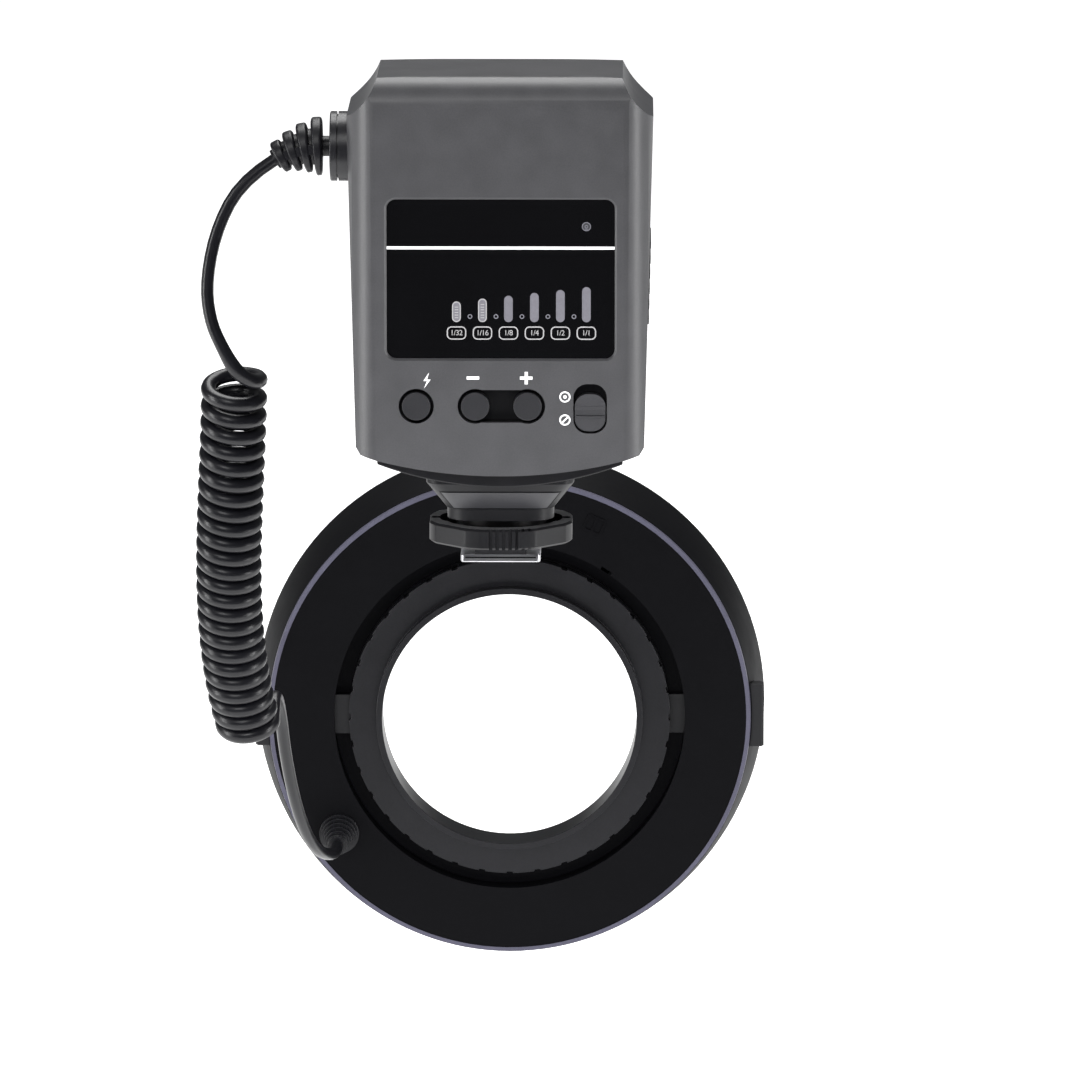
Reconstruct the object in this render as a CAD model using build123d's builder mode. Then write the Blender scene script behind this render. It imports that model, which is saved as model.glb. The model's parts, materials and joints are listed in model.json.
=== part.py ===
from build123d import *
import math
import os

# Macro ring flash: a controller for a camera's accessory shoe, a curly cord and a round lamp head.
# Millimetres. Z is up, the photographer stands at -Y and the subject at +Y. The origin is the
# middle of the underside of the shoe foot.

os.makedirs("parts", exist_ok=True)

# One overrun for every cut, and the gaps that all pieces share
overrun = 1.0
running_gap = 0.06
loose_gap = 0.15
soft_gap = 0.3

# Controller casing
casing_depth = 44.0
casing_top = 115.0
casing_crown = 0.6
casing_width_top = 70.9
casing_width_low = 66.9
casing_wall = 2.2
casing_low = 29.0
chin_corner = 27.3
chin_middle = 22.7
chin_corner_inset = 1.1
shoulder_width = 7.1
shoulder_height = 9.2
shoulder_hollow = 0.7
side_band_width = 4.95
side_band_depth = 8.0
side_band_bulge = 1.1
top_round_rear = 8.0
top_round_front = 10.0
front_corner_round = 5.0
seam_y = 12.0
hole_gap = 0.05

# Display window and its lights
window_margin_left = 2.4
window_margin_right = 1.9
window_low = 50.3
window_high = 87.4
window_corner = 2.2
window_recess = 0.6
window_thick = 1.0
window_bevel = 0.5
window_ledge = 1.5
bar_count = 6
bar_row_inset = 6.56
bar_pitch = 6.0
bar_width = 2.0
bar_low = 58.8
bar_first_height = 4.8
bar_growth = 0.68
pilot_inset = 6.57
pilot_z = 81.1
pilot_radius = 0.95

# Buttons, their guide and the slide switch
button_z = 39.15
test_share = 0.129
minus_share = 0.3877
plus_share = 0.6176
switch_share = 0.8924
button_radius = 3.3
button_hole_radius = 4.07
button_proud = 0.4
button_flange = 1.1
button_flange_thick = 0.8
button_travel = 0.8
button_dome = 0.25
pair_slot_waist = 0.25
guide_thick = 1.0
guide_margin = 0.1
guide_low = 31.0
guide_high = 47.0
pad_thick = 0.4
pad_dome_radius = 2.0
switch_slot_width = 7.75
switch_slot_low = 32.8
switch_slot_high = 44.4
switch_slot_corner = 3.2
knob_width = 7.1
knob_low = 33.3
knob_high = 42.1
knob_corner = 3.0
knob_proud = 0.25
knob_sink = 0.5
knob_sink_share = 0.58
knob_travel = 2.0
knob_stem_width = 3.0
knob_stem_height = 3.0
switch_body_width = 11.0
switch_body_height = 9.0

# Boards
board_thick = 1.6
board_rear = -16.2
board_margin = 1.0
board_low = 31.5
board_high = 88.0
led_size = 1.6
led_depth = 0.8
post_radius = 1.6
post_side_gap = 2.95
post_inset = 3.0

# Battery case, cells and door
cell_radius = 7.25
cell_length = 50.5
cell_pitch = 15.0
case_wall = 1.0
cell_end_gap = 0.93
case_middle_y = 1.9
case_middle_z = 66.0
contact_thick = 0.6
terminal_radius = 3.0
terminal_thick = 0.7
door_thick = 1.5
door_low = 47.0
door_high = 85.0
door_margin = 0.55
door_gap = 0.15
door_travel = 4.0
door_contact_width = 11.0
door_contact_thick = 0.4
grip_count = 6
grip_first_z = 57.2
grip_pitch = 3.55
grip_height = 1.5
grip_proud = 0.35
grip_margin = 4.0
hinge_pin_radius = 0.4
hinge_pin_reach = 1.2

# Flash capacitor, transformer and main board
capacitor_radius = 11.0
capacitor_end_gap = 2.9
transformer_width = 18.0
transformer_depth = 13.0
transformer_height = 12.0
transformer_x = -11.0
transformer_z = 38.5
main_board_y = 15.4
main_board_gap = 0.9
main_board_low = 30.5
main_board_high = 48.5

# Foot: base plate, neck, wheel, clamp plate and shoe foot
base_half_width = 28.5
base_corner_z = 24.9
base_middle = 19.6
base_inset_rear = 3.2
base_inset_front = 3.0
neck_top_half = 17.2
neck_low_half = 12.5
neck_top = 19.9
neck_mid = 13.2
neck_low = 10.4
neck_corner = 4.0
neck_lower_corner = 6.0
stem_radius = 9.0
stem_foot_width = 12.0
stem_foot_length = 18.0
wheel_radius = 17.3
wheel_flat_share = 0.965
wheel_sides = 8
wheel_low = 4.23
wheel_round = 0.5
wheel_recess_radius = 13.6
wheel_recess_depth = 1.4
wheel_hole_radius = 1.3
wheel_hole_offset = 15.1
wheel_rib_count = 7
wheel_rib_step = 5.2
wheel_rib_turn = 8.0
wheel_rib_depth = 0.5
wheel_rib_width = 0.8
clamp_low = 3.9
clamp_thick = 1.0
clamp_radius = 12.4
clamp_lift = 1.0
foot_width = 18.6
foot_length = 18.0
foot_thick = 1.85
foot_corner = 1.0
foot_edge_round = 0.3
contact_block_width = 10.0
contact_block_length = 11.5
contact_pin_radius = 1.3
contact_pin_shoulder = 0.7
contact_pin_length = 3.2
contact_spring_height = 2.4
lock_pin_radius = 1.0
lock_pin_y = 7.3
lock_pin_reach = 1.5
lock_pin_rise = 1.6
lock_pin_top = 8.0
foot_screw_x = 3.6
foot_screw_y = 7.0
foot_screw_radius = 0.7
foot_screw_head = 1.15
foot_screw_head_thick = 0.6
foot_screw_length = 6.0

# Cord, collar and strain reliefs
cord_diameter = 3.0
collar_z = 96.5
collar_y = 2.0
collar_radius = 8.15
collar_barrel = 2.3
collar_groove = 0.4
collar_groove_depth = 0.7
collar_disc = 1.6
collar_thread_radius = 5.5
collar_thread_length = 5.0
collar_nut_thick = 2.2
collar_nut_radius = 7.4
boot_stub = 1.7
boot_turn = 32.0
boot_length = 11.8
boot_radius_first = 6.9
boot_radius_last = 4.5
boot_core_radius = 2.4
boot_rib_count = 4
boot_rib_share = 0.62
boot_web_thick = 1.6
head_boot_angle = 215.0
head_boot_inset = 8.1
head_boot_length = 15.0
head_boot_radius_first = 5.0
head_boot_radius_last = 2.6
head_boot_rib_count = 6
head_boot_rib_share = 0.55

# Coil of the cord: turns follow a leaning, curved axis
coil_radius = 6.1
coil_pitch = 3.6
coil_spread = 5.0
coil_spread_turns = 2.6
coil_drop = 6.5
coil_drop_turns = 0.09
coil_first_turn = -100.0
coil_last_turn = 0.0
coil_axis_points = [
    (-62.6, 6.0, 47.8),
    (-62.5, 12.0, 15.0),
    (-69.8, 22.0, -17.0),
    (-61.3, 34.0, -48.0),
]

# Points of the cord's free stretches between the strain reliefs and the coil
cord_upper_points = [
    (-60.3, 2.0, 88.5),
    (-66.5, 1.8, 77.0),
    (-69.0, 0.8, 64.0),
    (-67.8, -0.75, 55.2),
]
cord_lower_points = [
    (-55.1, 47.4, -42.55),
    (-54.5, 58.0, -49.0),
    (-53.5, 67.5, -64.0),
    (-51.0, 79.5, -80.5),
    (-47.5, 94.0, -92.5),
    (-43.0, 110.5, -97.4),
]

# Ring head, measured from the lens axis
head_z = -67.3
head_rear = 137.0
head_depth = 25.0
head_taper = 3.9
head_band_width = 20.3
head_flank_bulge = 0.6
head_wall = 2.0
head_inner_wall = 1.5
rim_line_width = 1.0
rim_line_depth = 1.2
rim_line_proud = 0.15
inner_notch_angle = 57.0
inner_notch_width = 3.0
inner_notch_depth = 0.8
seat_width = 4.4
seat_thick = 2.0
seat_lip_gap = 0.06
mark_inset = 6.9
mark_angle = 66.6
mark_width = 4.9
mark_height = 4.2
mark_corner = 0.8
mark_line = 0.4
mark_proud = 0.25
bezel_thick = 2.0
bezel_round = 0.8
lamp_gap_angle = 24.0
diffuser_edge_inner = 3.4
diffuser_edge_outer = 3.5
diffuser_thick = 3.0
diffuser_crown = 0.8
reflector_inset = 0.8
reflector_thick = 0.5
reflector_depth = 9.5
tube_radius = 2.2
tube_margin = 9.0
cap_length = 5.0
cap_radius = 3.9
lamp_board_gap = 0.9
lamp_board_edge = 1.0
lamp_board_rear = 144.6
lamp_board_thick = 1.2
focus_lamp_width = 5.0
focus_lamp_depth = 1.4
focus_lens_radius = 3.4
focus_lens_turn = 10.0
focus_holder_width = 18.0
focus_holder_height = 10.0

# Release latches and the adapter ring they hold
latch_wall_gap = 0.9
latch_band_width = 4.0
latch_thick = 1.2
latch_first_y = 140.0
latch_gap = 0.4
latch_travel = 2.0
latch_arm_width = 8.0
claw_gap = 0.8
claw_width = 10.0
latch_button_width = 16.0
latch_button_depth = 4.2
latch_button_proud = 2.4
latch_button_inset = 1.2
latch_button_ribs = 2
latch_button_rib_pitch = 1.7
latch_button_rib_width = 0.8
latch_button_rib_proud = 0.4
adapter_thread_radius = 33.5
adapter_wall = 1.5
adapter_flange_width = 6.9
adapter_flange_gap = 3.8
adapter_groove_depth = 2.2
adapter_groove_low = 139.7
adapter_groove_high = 143.1
adapter_front = 146.0
adapter_thread_length = 3.5
adapter_grip_count = 36
adapter_grip_depth = 0.4
adapter_grip_width = 1.6

# Screws
screw_radius = 1.1
screw_head_radius = 2.0
screw_head_thick = 1.2
screw_slot = 0.5
screw_length = 14.0
screw_side_gap = 3.75
screw_high = 85.0
screw_low = 34.0
lug_radius = 2.6
lug_length = 6.0
screw_sink = 0.3

# Values worked out from the sizes above
casing_rear = -casing_depth / 2
casing_front = casing_depth / 2
half_top = casing_width_top / 2
half_low = casing_width_low / 2
side_top = casing_top - shoulder_height
side_slope = math.atan2(half_top - half_low, side_top - casing_low)
rear_flat_half = min(half_top, half_low) - side_band_width
post_x = min(half_top, half_low) - casing_wall - post_side_gap
screw_x = min(half_top, half_low) - casing_wall - screw_side_gap
window_left = window_margin_left - rear_flat_half
window_right = rear_flat_half - window_margin_right
window_width = window_right - window_left
bar_first_x = window_right - bar_row_inset - (bar_count - 1) * bar_pitch
pilot_x = window_right - pilot_inset
test_x = window_left + test_share * window_width
minus_x = window_left + minus_share * window_width
plus_x = window_left + plus_share * window_width
switch_x = window_left + switch_share * window_width
guide_left = window_left + guide_margin
guide_right = window_right - guide_margin
main_board_width = 2 * (screw_x - lug_radius - main_board_gap)
capacitor_length = 2 * (screw_x - lug_radius - capacitor_end_gap)
seat_rear = adapter_front + loose_gap
cord_radius = cord_diameter / 2
wheel_high = neck_low - clamp_lift - soft_gap

# The head's radii follow from the lens thread outward
adapter_bore_radius = adapter_thread_radius - adapter_wall
adapter_radius = adapter_thread_radius + adapter_flange_width
adapter_groove_radius = adapter_radius - adapter_groove_depth
seat_radius = adapter_radius - seat_width
claw_reach = adapter_groove_radius + claw_gap
head_opening_radius = adapter_radius + adapter_flange_gap
head_radius_front = head_opening_radius + head_band_width
head_radius_rear = head_radius_front - head_taper
head_front = head_rear + head_depth
inner_wall_outer = head_opening_radius + head_inner_wall
diffuser_inner = head_opening_radius + diffuser_edge_inner
diffuser_outer = head_radius_front - diffuser_edge_outer
tube_track = (diffuser_inner + diffuser_outer) / 2
reflector_inner = diffuser_inner + reflector_inset
reflector_outer = diffuser_outer - reflector_inset
lamp_board_inner = inner_wall_outer + lamp_board_gap
lamp_board_outer = head_radius_rear - lamp_board_edge
latch_inner = inner_wall_outer + latch_travel + latch_wall_gap
latch_outer = latch_inner + latch_band_width
latch_button_root = head_radius_rear - latch_button_inset


def rear_plane(y):
    """Plane facing the photographer at depth y: its x is X and its y is Z."""
    return Plane.XZ.offset(-y)


def side_half(z):
    """Half width of the casing's tapered side at height z."""
    return half_low + (z - casing_low) * math.tan(side_slope)


def casing_shape(inset):
    """Casing as a full solid, with every face moved inward by inset."""
    top = casing_top - inset
    width = half_top - inset
    low_width = half_low - inset
    chin = chin_corner + inset
    inset_low = casing_low + inset
    shoulder_x = half_top - shoulder_width - inset / 2
    shoulder_middle = (
        (shoulder_x + width) / 2 - shoulder_hollow,
        (top + side_top - inset / 2) / 2 - shoulder_hollow,
    )
    flat = rear_flat_half - inset / 2
    rear = casing_rear + inset
    front = casing_front - inset
    band = rear + side_band_depth
    band_middle = ((flat + width) / 2 + side_band_bulge, (rear + band) / 2 - side_band_bulge)
    with BuildPart(mode=Mode.PRIVATE) as body:
        with BuildSketch(Plane.XZ):
            with BuildLine():
                ThreePointArc(
                    (-shoulder_x, top), (0, top + casing_crown), (shoulder_x, top)
                )
                ThreePointArc((shoulder_x, top), shoulder_middle, (width, side_top - inset / 2))
                Line((width, side_top - inset / 2), (low_width, inset_low))
                Line((low_width, inset_low), (low_width - chin_corner_inset, chin))
                ThreePointArc(
                    (low_width - chin_corner_inset, chin),
                    (0, chin_middle + inset),
                    (chin_corner_inset - low_width, chin),
                )
                Line((chin_corner_inset - low_width, chin), (-low_width, inset_low))
                Line((-low_width, inset_low), (-width, side_top - inset / 2))
                ThreePointArc(
                    (-width, side_top - inset / 2),
                    (-shoulder_middle[0], shoulder_middle[1]),
                    (-shoulder_x, top),
                )
            make_face()
        extrude(amount=casing_depth, both=True)
        with BuildSketch(Plane.XY.offset(chin_middle - overrun)):
            with BuildLine():
                Line((-flat, rear), (flat, rear))
                ThreePointArc((flat, rear), band_middle, (width, band))
                Line((width, band), (width, front))
                Line((width, front), (-width, front))
                Line((-width, front), (-width, band))
                ThreePointArc((-width, band), (-band_middle[0], band_middle[1]), (-flat, rear))
            make_face()
        extrude(amount=casing_top, mode=Mode.INTERSECT)
        upright = body.edges().filter_by(Axis.Z, tolerance=3).group_by(Axis.Y)[-1]
        fillet(upright, radius=front_corner_round - inset)
        with BuildSketch(Plane.YZ):
            with BuildLine():
                Line((rear, chin_middle - overrun), (rear, top + casing_crown - top_round_rear))
                RadiusArc(
                    (rear, top + casing_crown - top_round_rear),
                    (rear + top_round_rear, top + casing_crown),
                    top_round_rear,
                )
                Line(
                    (rear + top_round_rear, top + casing_crown),
                    (front - top_round_front, top + casing_crown),
                )
                RadiusArc(
                    (front - top_round_front, top + casing_crown),
                    (front, top + casing_crown - top_round_front),
                    top_round_front,
                )
                Line((front, top + casing_crown - top_round_front), (front, chin_middle - overrun))
                Line((front, chin_middle - overrun), (rear, chin_middle - overrun))
            make_face()
        extrude(amount=casing_width_top, both=True, mode=Mode.INTERSECT)
    return body.part


casing_outer = casing_shape(0)
casing_inner = casing_shape(casing_wall)
inner_rear = casing_rear + casing_wall
inner_front = casing_front - casing_wall

window_middle = ((window_left + window_right) / 2, (window_low + window_high) / 2)
window_height = window_high - window_low
window_face = casing_rear + window_recess
window_back = window_face + window_thick

cell_window = cell_pitch + 2 * cell_radius
case_half = cell_window / 2 + case_wall
case_rear = case_middle_y - case_half
case_front = inner_front - running_gap
cell_side = min(side_half(case_middle_z + side * cell_window / 2) for side in (-1, 1))
cell_right = cell_side - door_thick - door_contact_thick - cell_end_gap
case_left = cell_right - cell_length - terminal_thick - contact_thick - case_wall
cell_places = [
    (case_middle_y + side * cell_pitch / 2, case_middle_z + level * cell_pitch / 2)
    for side in (-1, 1)
    for level in (-1, 1)
]

guide_rear = inner_rear + guide_thick
flange_front = guide_rear + running_gap + button_flange_thick
pair_middle = (minus_x + plus_x) / 2
knob_middle = (knob_low + knob_high) / 2
switch_slot_middle = (switch_slot_low + switch_slot_high) / 2
bar_places = [
    (bar_first_x + index * bar_pitch, bar_first_height + index * bar_growth)
    for index in range(bar_count)
]

# The door lies in a plane along the tapered side: x is Y, y is up the side and z is outward
door_normal = (math.cos(side_slope), 0, -math.sin(side_slope))
door_plane = Plane(origin=(side_half(door_low), 0, door_low), x_dir=(0, 1, 0), z_dir=door_normal)
door_height = (door_high - door_low) / math.cos(side_slope)
door_width = cell_window + 2 * door_margin
door_contact_height = cell_window - 2 * (door_travel + loose_gap)
door_rear = case_middle_y - door_width / 2
hinge_radius = door_thick / 2

screw_places = [
    (side * screw_x, height) for side in (-1, 1) for height in (screw_low, screw_high)
]
post_places = [
    (side * post_x, height)
    for side in (-1, 1)
    for height in (board_low + post_inset, board_high - post_inset)
]
main_board_posts = [
    (side * (main_board_width / 2 - post_inset), main_board_high - post_inset)
    for side in (-1, 1)
]


# Door opening: a recess as deep as the door, with room below it for the door's slide, a window
# onto the cells and a track at each end for the hinge pin
with BuildPart() as door_cut:
    with BuildSketch(door_plane):
        with Locations((case_middle_y, (door_height - door_travel) / 2)):
            Rectangle(door_width + 2 * door_gap, door_height + door_travel + 2 * door_gap)
    extrude(amount=-(door_thick + running_gap))
    with BuildSketch(door_plane):
        with Locations((case_middle_y, (door_height - door_travel) / 2)):
            Rectangle(door_width + 2 * door_gap, door_height + door_travel + 2 * door_gap)
    extrude(amount=overrun)
    with BuildSketch(door_plane.offset(hinge_pin_radius + running_gap - hinge_radius)):
        with Locations((case_middle_y, hinge_radius - door_travel / 2)):
            Rectangle(
                door_width + 2 * (hinge_pin_reach + loose_gap),
                2 * (hinge_pin_radius + running_gap) + door_travel,
            )
    extrude(amount=-2 * (hinge_pin_radius + running_gap))
    with BuildSketch(door_plane):
        with Locations((case_middle_y, case_middle_z - door_low)):
            Rectangle(cell_window, cell_window)
    extrude(amount=-2 * casing_wall)

# Seat for the cord collar: a flat round boss on the left side
collar_plane = Plane(origin=(-half_top, collar_y, collar_z), x_dir=(0, 1, 0), z_dir=(-1, 0, 0))
with BuildPart() as collar_seat:
    with BuildSketch(collar_plane):
        Circle(collar_radius)
    extrude(amount=-casing_wall)
with BuildPart() as collar_hole:
    with BuildSketch(collar_plane.offset(overrun)):
        Circle(collar_thread_radius + hole_gap)
    extrude(amount=-2 * casing_wall - overrun)

# Rear casing, which the photographer sees
with BuildPart() as rear_housing:
    add(casing_outer)
    add(collar_seat.part)
    add(casing_inner, mode=Mode.SUBTRACT)
    with BuildSketch(rear_plane(seam_y)):
        for place in screw_places:
            with Locations((math.copysign(side_half(place[1]) - casing_wall, place[0]), place[1])):
                Rectangle(
                    2 * (side_half(place[1]) - casing_wall - abs(place[0]) + lug_radius),
                    2 * lug_radius,
                )
    extrude(amount=lug_length)
    add(casing_outer, mode=Mode.INTERSECT)
    split(bisect_by=rear_plane(seam_y), keep=Keep.TOP)
    with BuildSketch(rear_plane(inner_rear)):
        with Locations(*post_places):
            Circle(post_radius)
    extrude(amount=inner_rear - board_rear)
    with BuildSketch(rear_plane(casing_rear)):
        with Locations(window_middle):
            RectangleRounded(window_width, window_height, window_corner)
    extrude(amount=-window_recess - window_thick, mode=Mode.SUBTRACT)
    with BuildSketch(rear_plane(casing_rear)):
        with Locations(window_middle):
            RectangleRounded(
                window_width + 2 * window_bevel,
                window_height + 2 * window_bevel,
                window_corner + window_bevel,
            )
    with BuildSketch(rear_plane(casing_rear + window_bevel)):
        with Locations(window_middle):
            RectangleRounded(window_width, window_height, window_corner)
    loft(mode=Mode.SUBTRACT)
    with BuildSketch(rear_plane(casing_rear)):
        with Locations(window_middle):
            RectangleRounded(
                window_width - 2 * window_ledge,
                window_height - 2 * window_ledge,
                window_corner,
            )
        with Locations((test_x, button_z), (minus_x, button_z), (plus_x, button_z)):
            Circle(button_hole_radius)
        with Locations((pair_middle, button_z)):
            Rectangle(plus_x - minus_x, 2 * (button_hole_radius - pair_slot_waist))
        with Locations((switch_x, switch_slot_middle)):
            RectangleRounded(
                switch_slot_width, switch_slot_high - switch_slot_low, switch_slot_corner
            )
    extrude(amount=-casing_wall, mode=Mode.SUBTRACT)
    with BuildSketch(rear_plane(seam_y)):
        with Locations(*screw_places):
            Circle(screw_radius)
    extrude(amount=lug_length, mode=Mode.SUBTRACT)
    add(door_cut.part, mode=Mode.SUBTRACT)
    add(collar_hole.part, mode=Mode.SUBTRACT)
rear_housing.part.label = "rear_housing"
export_step(rear_housing.part, "parts/rear_housing.step")

# Front casing, which the subject sees
with BuildPart() as front_housing:
    add(casing_outer)
    add(casing_inner, mode=Mode.SUBTRACT)
    split(bisect_by=rear_plane(seam_y), keep=Keep.BOTTOM)
    with BuildSketch(rear_plane(inner_front)):
        with Locations(*screw_places):
            Circle(lug_radius)
    extrude(amount=inner_front - seam_y)
    with BuildSketch(rear_plane(inner_front)):
        with Locations(*main_board_posts):
            Circle(post_radius)
    extrude(amount=inner_front - main_board_y - board_thick)
    with BuildSketch(rear_plane(casing_front)):
        with Locations(*screw_places):
            Circle(screw_head_radius + hole_gap)
    extrude(amount=screw_head_thick + screw_sink, mode=Mode.SUBTRACT)
    with BuildSketch(rear_plane(casing_front)):
        with Locations(*screw_places):
            Circle(screw_radius)
    extrude(amount=casing_depth / 2, mode=Mode.SUBTRACT)
    add(door_cut.part, mode=Mode.SUBTRACT)
front_housing.part.label = "front_housing"
export_step(front_housing.part, "parts/front_housing.step")

# Four screws that hold the casings together, their heads sunk in the front
with BuildPart() as casing_screws:
    with BuildSketch(rear_plane(casing_front - screw_sink)):
        with Locations(*screw_places):
            Circle(screw_head_radius)
    extrude(amount=screw_head_thick)
    with BuildSketch(rear_plane(casing_front - screw_sink - screw_head_thick)):
        with Locations(*screw_places):
            Circle(screw_radius)
    extrude(amount=screw_length - screw_head_thick)
    with BuildSketch(rear_plane(casing_front - screw_sink)):
        for turn in (0, 90):
            with Locations(*[Pos(*place) * Rot(0, 0, turn) for place in screw_places]):
                Rectangle(screw_head_radius * 1.2, screw_slot)
    extrude(amount=screw_head_thick / 2, mode=Mode.SUBTRACT)
casing_screws.part.label = "casing_screws"
export_step(casing_screws.part, "parts/casing_screws.step")

# Smoked display window, slotted for the level bars
with BuildPart() as display_window:
    with BuildSketch(rear_plane(window_back)):
        with Locations(window_middle):
            RectangleRounded(
                window_width - 2 * hole_gap, window_height - 2 * hole_gap, window_corner
            )
        for x, height in bar_places:
            with Locations((x, bar_low + height / 2)):
                SlotOverall(height, bar_width, rotation=90, mode=Mode.SUBTRACT)
        with Locations((pilot_x, pilot_z)):
            Circle(pilot_radius, mode=Mode.SUBTRACT)
    extrude(amount=window_thick)
display_window.part.label = "display_window"
export_step(display_window.part, "parts/display_window.step")

# Six light bars, each a little taller than the one before, that lead from the lamps to the window
led_face = board_rear - led_depth
with BuildPart() as level_bars:
    with BuildSketch(rear_plane(led_face)):
        for x, height in bar_places:
            with Locations((x, bar_low + height / 2)):
                SlotOverall(height, bar_width, rotation=90)
    extrude(amount=led_face - window_face)
level_bars.part.label = "level_bars"
export_step(level_bars.part, "parts/level_bars.step")

# Pilot lamp's light guide
with BuildPart() as pilot_lamp:
    with BuildSketch(rear_plane(led_face)):
        with Locations((pilot_x, pilot_z)):
            Circle(pilot_radius)
    extrude(amount=led_face - window_face)
pilot_lamp.part.label = "pilot_lamp"
export_step(pilot_lamp.part, "parts/pilot_lamp.step")

# Lamps on the control board, one behind each bar and one behind the pilot
with BuildPart() as indicator_lamps:
    with BuildSketch(rear_plane(board_rear)):
        for x, height in bar_places:
            with Locations((x, bar_low + height / 2)):
                Rectangle(led_size, led_size)
        with Locations((pilot_x, pilot_z)):
            Rectangle(led_size, led_size)
    extrude(amount=led_depth)
indicator_lamps.part.label = "indicator_lamps"
export_step(indicator_lamps.part, "parts/indicator_lamps.step")

# Control board behind the display and the buttons
with BuildPart() as control_board:
    with BuildSketch(rear_plane(board_rear + board_thick)):
        with Locations((0, (board_low + board_high) / 2)):
            Rectangle(2 * (post_x + board_margin), board_high - board_low)
    extrude(amount=board_thick)
control_board.part.label = "control_board"
export_step(control_board.part, "parts/control_board.step")


def round_button(x):
    """Round push button with a flange behind the guide plate."""
    face = casing_rear - button_proud
    flange_face = guide_rear + running_gap
    with BuildPart(mode=Mode.PRIVATE) as button:
        with BuildSketch(rear_plane(flange_face)):
            with Locations((x, button_z)):
                Circle(button_radius)
        extrude(amount=flange_face - face)
        fillet(button.edges().sort_by(Axis.Y)[0], radius=button_dome)
        with BuildSketch(rear_plane(flange_face + button_flange_thick)):
            with Locations((x, button_z)):
                Circle(button_radius + button_flange)
        extrude(amount=button_flange_thick)
    return button.part


# Test, minus and plus buttons
for name, x in (("test_button", test_x), ("minus_button", minus_x), ("plus_button", plus_x)):
    button = round_button(x)
    button.label = name
    export_step(button, f"parts/{name}.step")

# Black guide plate behind the casing wall, which the buttons and the switch pass through
with BuildPart() as button_guide:
    with BuildSketch(rear_plane(guide_rear)):
        with Locations(((guide_left + guide_right) / 2, (guide_low + guide_high) / 2)):
            RectangleRounded(guide_right - guide_left, guide_high - guide_low, window_corner)
        with Locations((test_x, button_z), (minus_x, button_z), (plus_x, button_z)):
            Circle(button_radius + running_gap, mode=Mode.SUBTRACT)
        with Locations((switch_x, knob_middle + knob_travel / 2)):
            Rectangle(
                knob_stem_width + 2 * running_gap,
                knob_stem_height + knob_travel + 2 * loose_gap,
                mode=Mode.SUBTRACT,
            )
    extrude(amount=guide_thick)
button_guide.part.label = "button_guide"
export_step(button_guide.part, "parts/button_guide.step")

# Rubber key pad on the control board, with a dome under each button that the pressed flange
# just misses
pad_face = board_rear - pad_thick
pad_dome_height = pad_face - flange_front - button_travel - soft_gap
pad_left = test_x - button_radius - button_flange
pad_right = plus_x + button_radius + button_flange
with BuildPart() as key_pad:
    with BuildSketch(rear_plane(board_rear)):
        with Locations(((pad_left + pad_right) / 2, button_z)):
            RectangleRounded(
                pad_right - pad_left, 2 * (button_radius + button_flange), window_corner
            )
    extrude(amount=pad_thick)
    with BuildSketch(rear_plane(pad_face)):
        with Locations((test_x, button_z), (minus_x, button_z), (plus_x, button_z)):
            Circle(pad_dome_radius)
    extrude(amount=pad_dome_height)
key_pad.part.label = "key_pad"
export_step(key_pad.part, "parts/key_pad.step")

# Slide switch: a body on the control board and the knob that runs in it
with BuildPart() as slide_switch_body:
    with BuildSketch(rear_plane(board_rear)):
        with Locations((switch_x, knob_middle + knob_travel / 2)):
            Rectangle(switch_body_width, switch_body_height)
            Rectangle(
                knob_stem_width + 2 * running_gap,
                knob_stem_height + knob_travel + 2 * loose_gap,
                mode=Mode.SUBTRACT,
            )
    extrude(amount=board_rear - guide_rear - running_gap)
slide_switch_body.part.label = "slide_switch_body"
export_step(slide_switch_body.part, "parts/slide_switch_body.step")

with BuildPart() as switch_knob:
    with BuildSketch(rear_plane(inner_rear - running_gap)):
        with Locations((switch_x, knob_middle)):
            RectangleRounded(knob_width, knob_high - knob_low, knob_corner)
    extrude(amount=inner_rear - running_gap - casing_rear + knob_proud)
    with BuildSketch(rear_plane(casing_rear - knob_proud)):
        with Locations((switch_x, knob_low + knob_sink_share * (knob_high - knob_low) / 2)):
            Rectangle(knob_width, knob_sink_share * (knob_high - knob_low))
    extrude(amount=-knob_sink, mode=Mode.SUBTRACT)
    with BuildSketch(rear_plane(inner_rear - running_gap)):
        with Locations((switch_x, knob_middle)):
            Rectangle(knob_stem_width, knob_stem_height)
    extrude(amount=inner_rear - board_rear + loose_gap)
switch_knob.part.label = "switch_knob"
export_step(switch_knob.part, "parts/switch_knob.step")

# Battery case with four tubes open to the door
with BuildPart() as battery_case:
    with BuildSketch(Plane.YZ.offset(case_left)):
        with Locations(((case_rear + case_front) / 2, case_middle_z)):
            RectangleRounded(case_front - case_rear, 2 * case_half, case_wall)
    extrude(amount=cell_right - case_left)
    add(casing_inner, mode=Mode.INTERSECT)
    with BuildSketch(Plane.YZ.offset(case_left + case_wall)):
        with Locations(*cell_places):
            Circle(cell_radius + loose_gap)
    extrude(amount=cell_right - case_left, mode=Mode.SUBTRACT)
battery_case.part.label = "battery_case"
export_step(battery_case.part, "parts/battery_case.step")

# Contact discs at the closed end of each tube
with BuildPart() as battery_contacts:
    with BuildSketch(Plane.YZ.offset(case_left + case_wall)):
        with Locations(*cell_places):
            Circle(cell_radius - case_wall)
    extrude(amount=contact_thick)
battery_contacts.part.label = "battery_contacts"
export_step(battery_contacts.part, "parts/battery_contacts.step")

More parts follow.
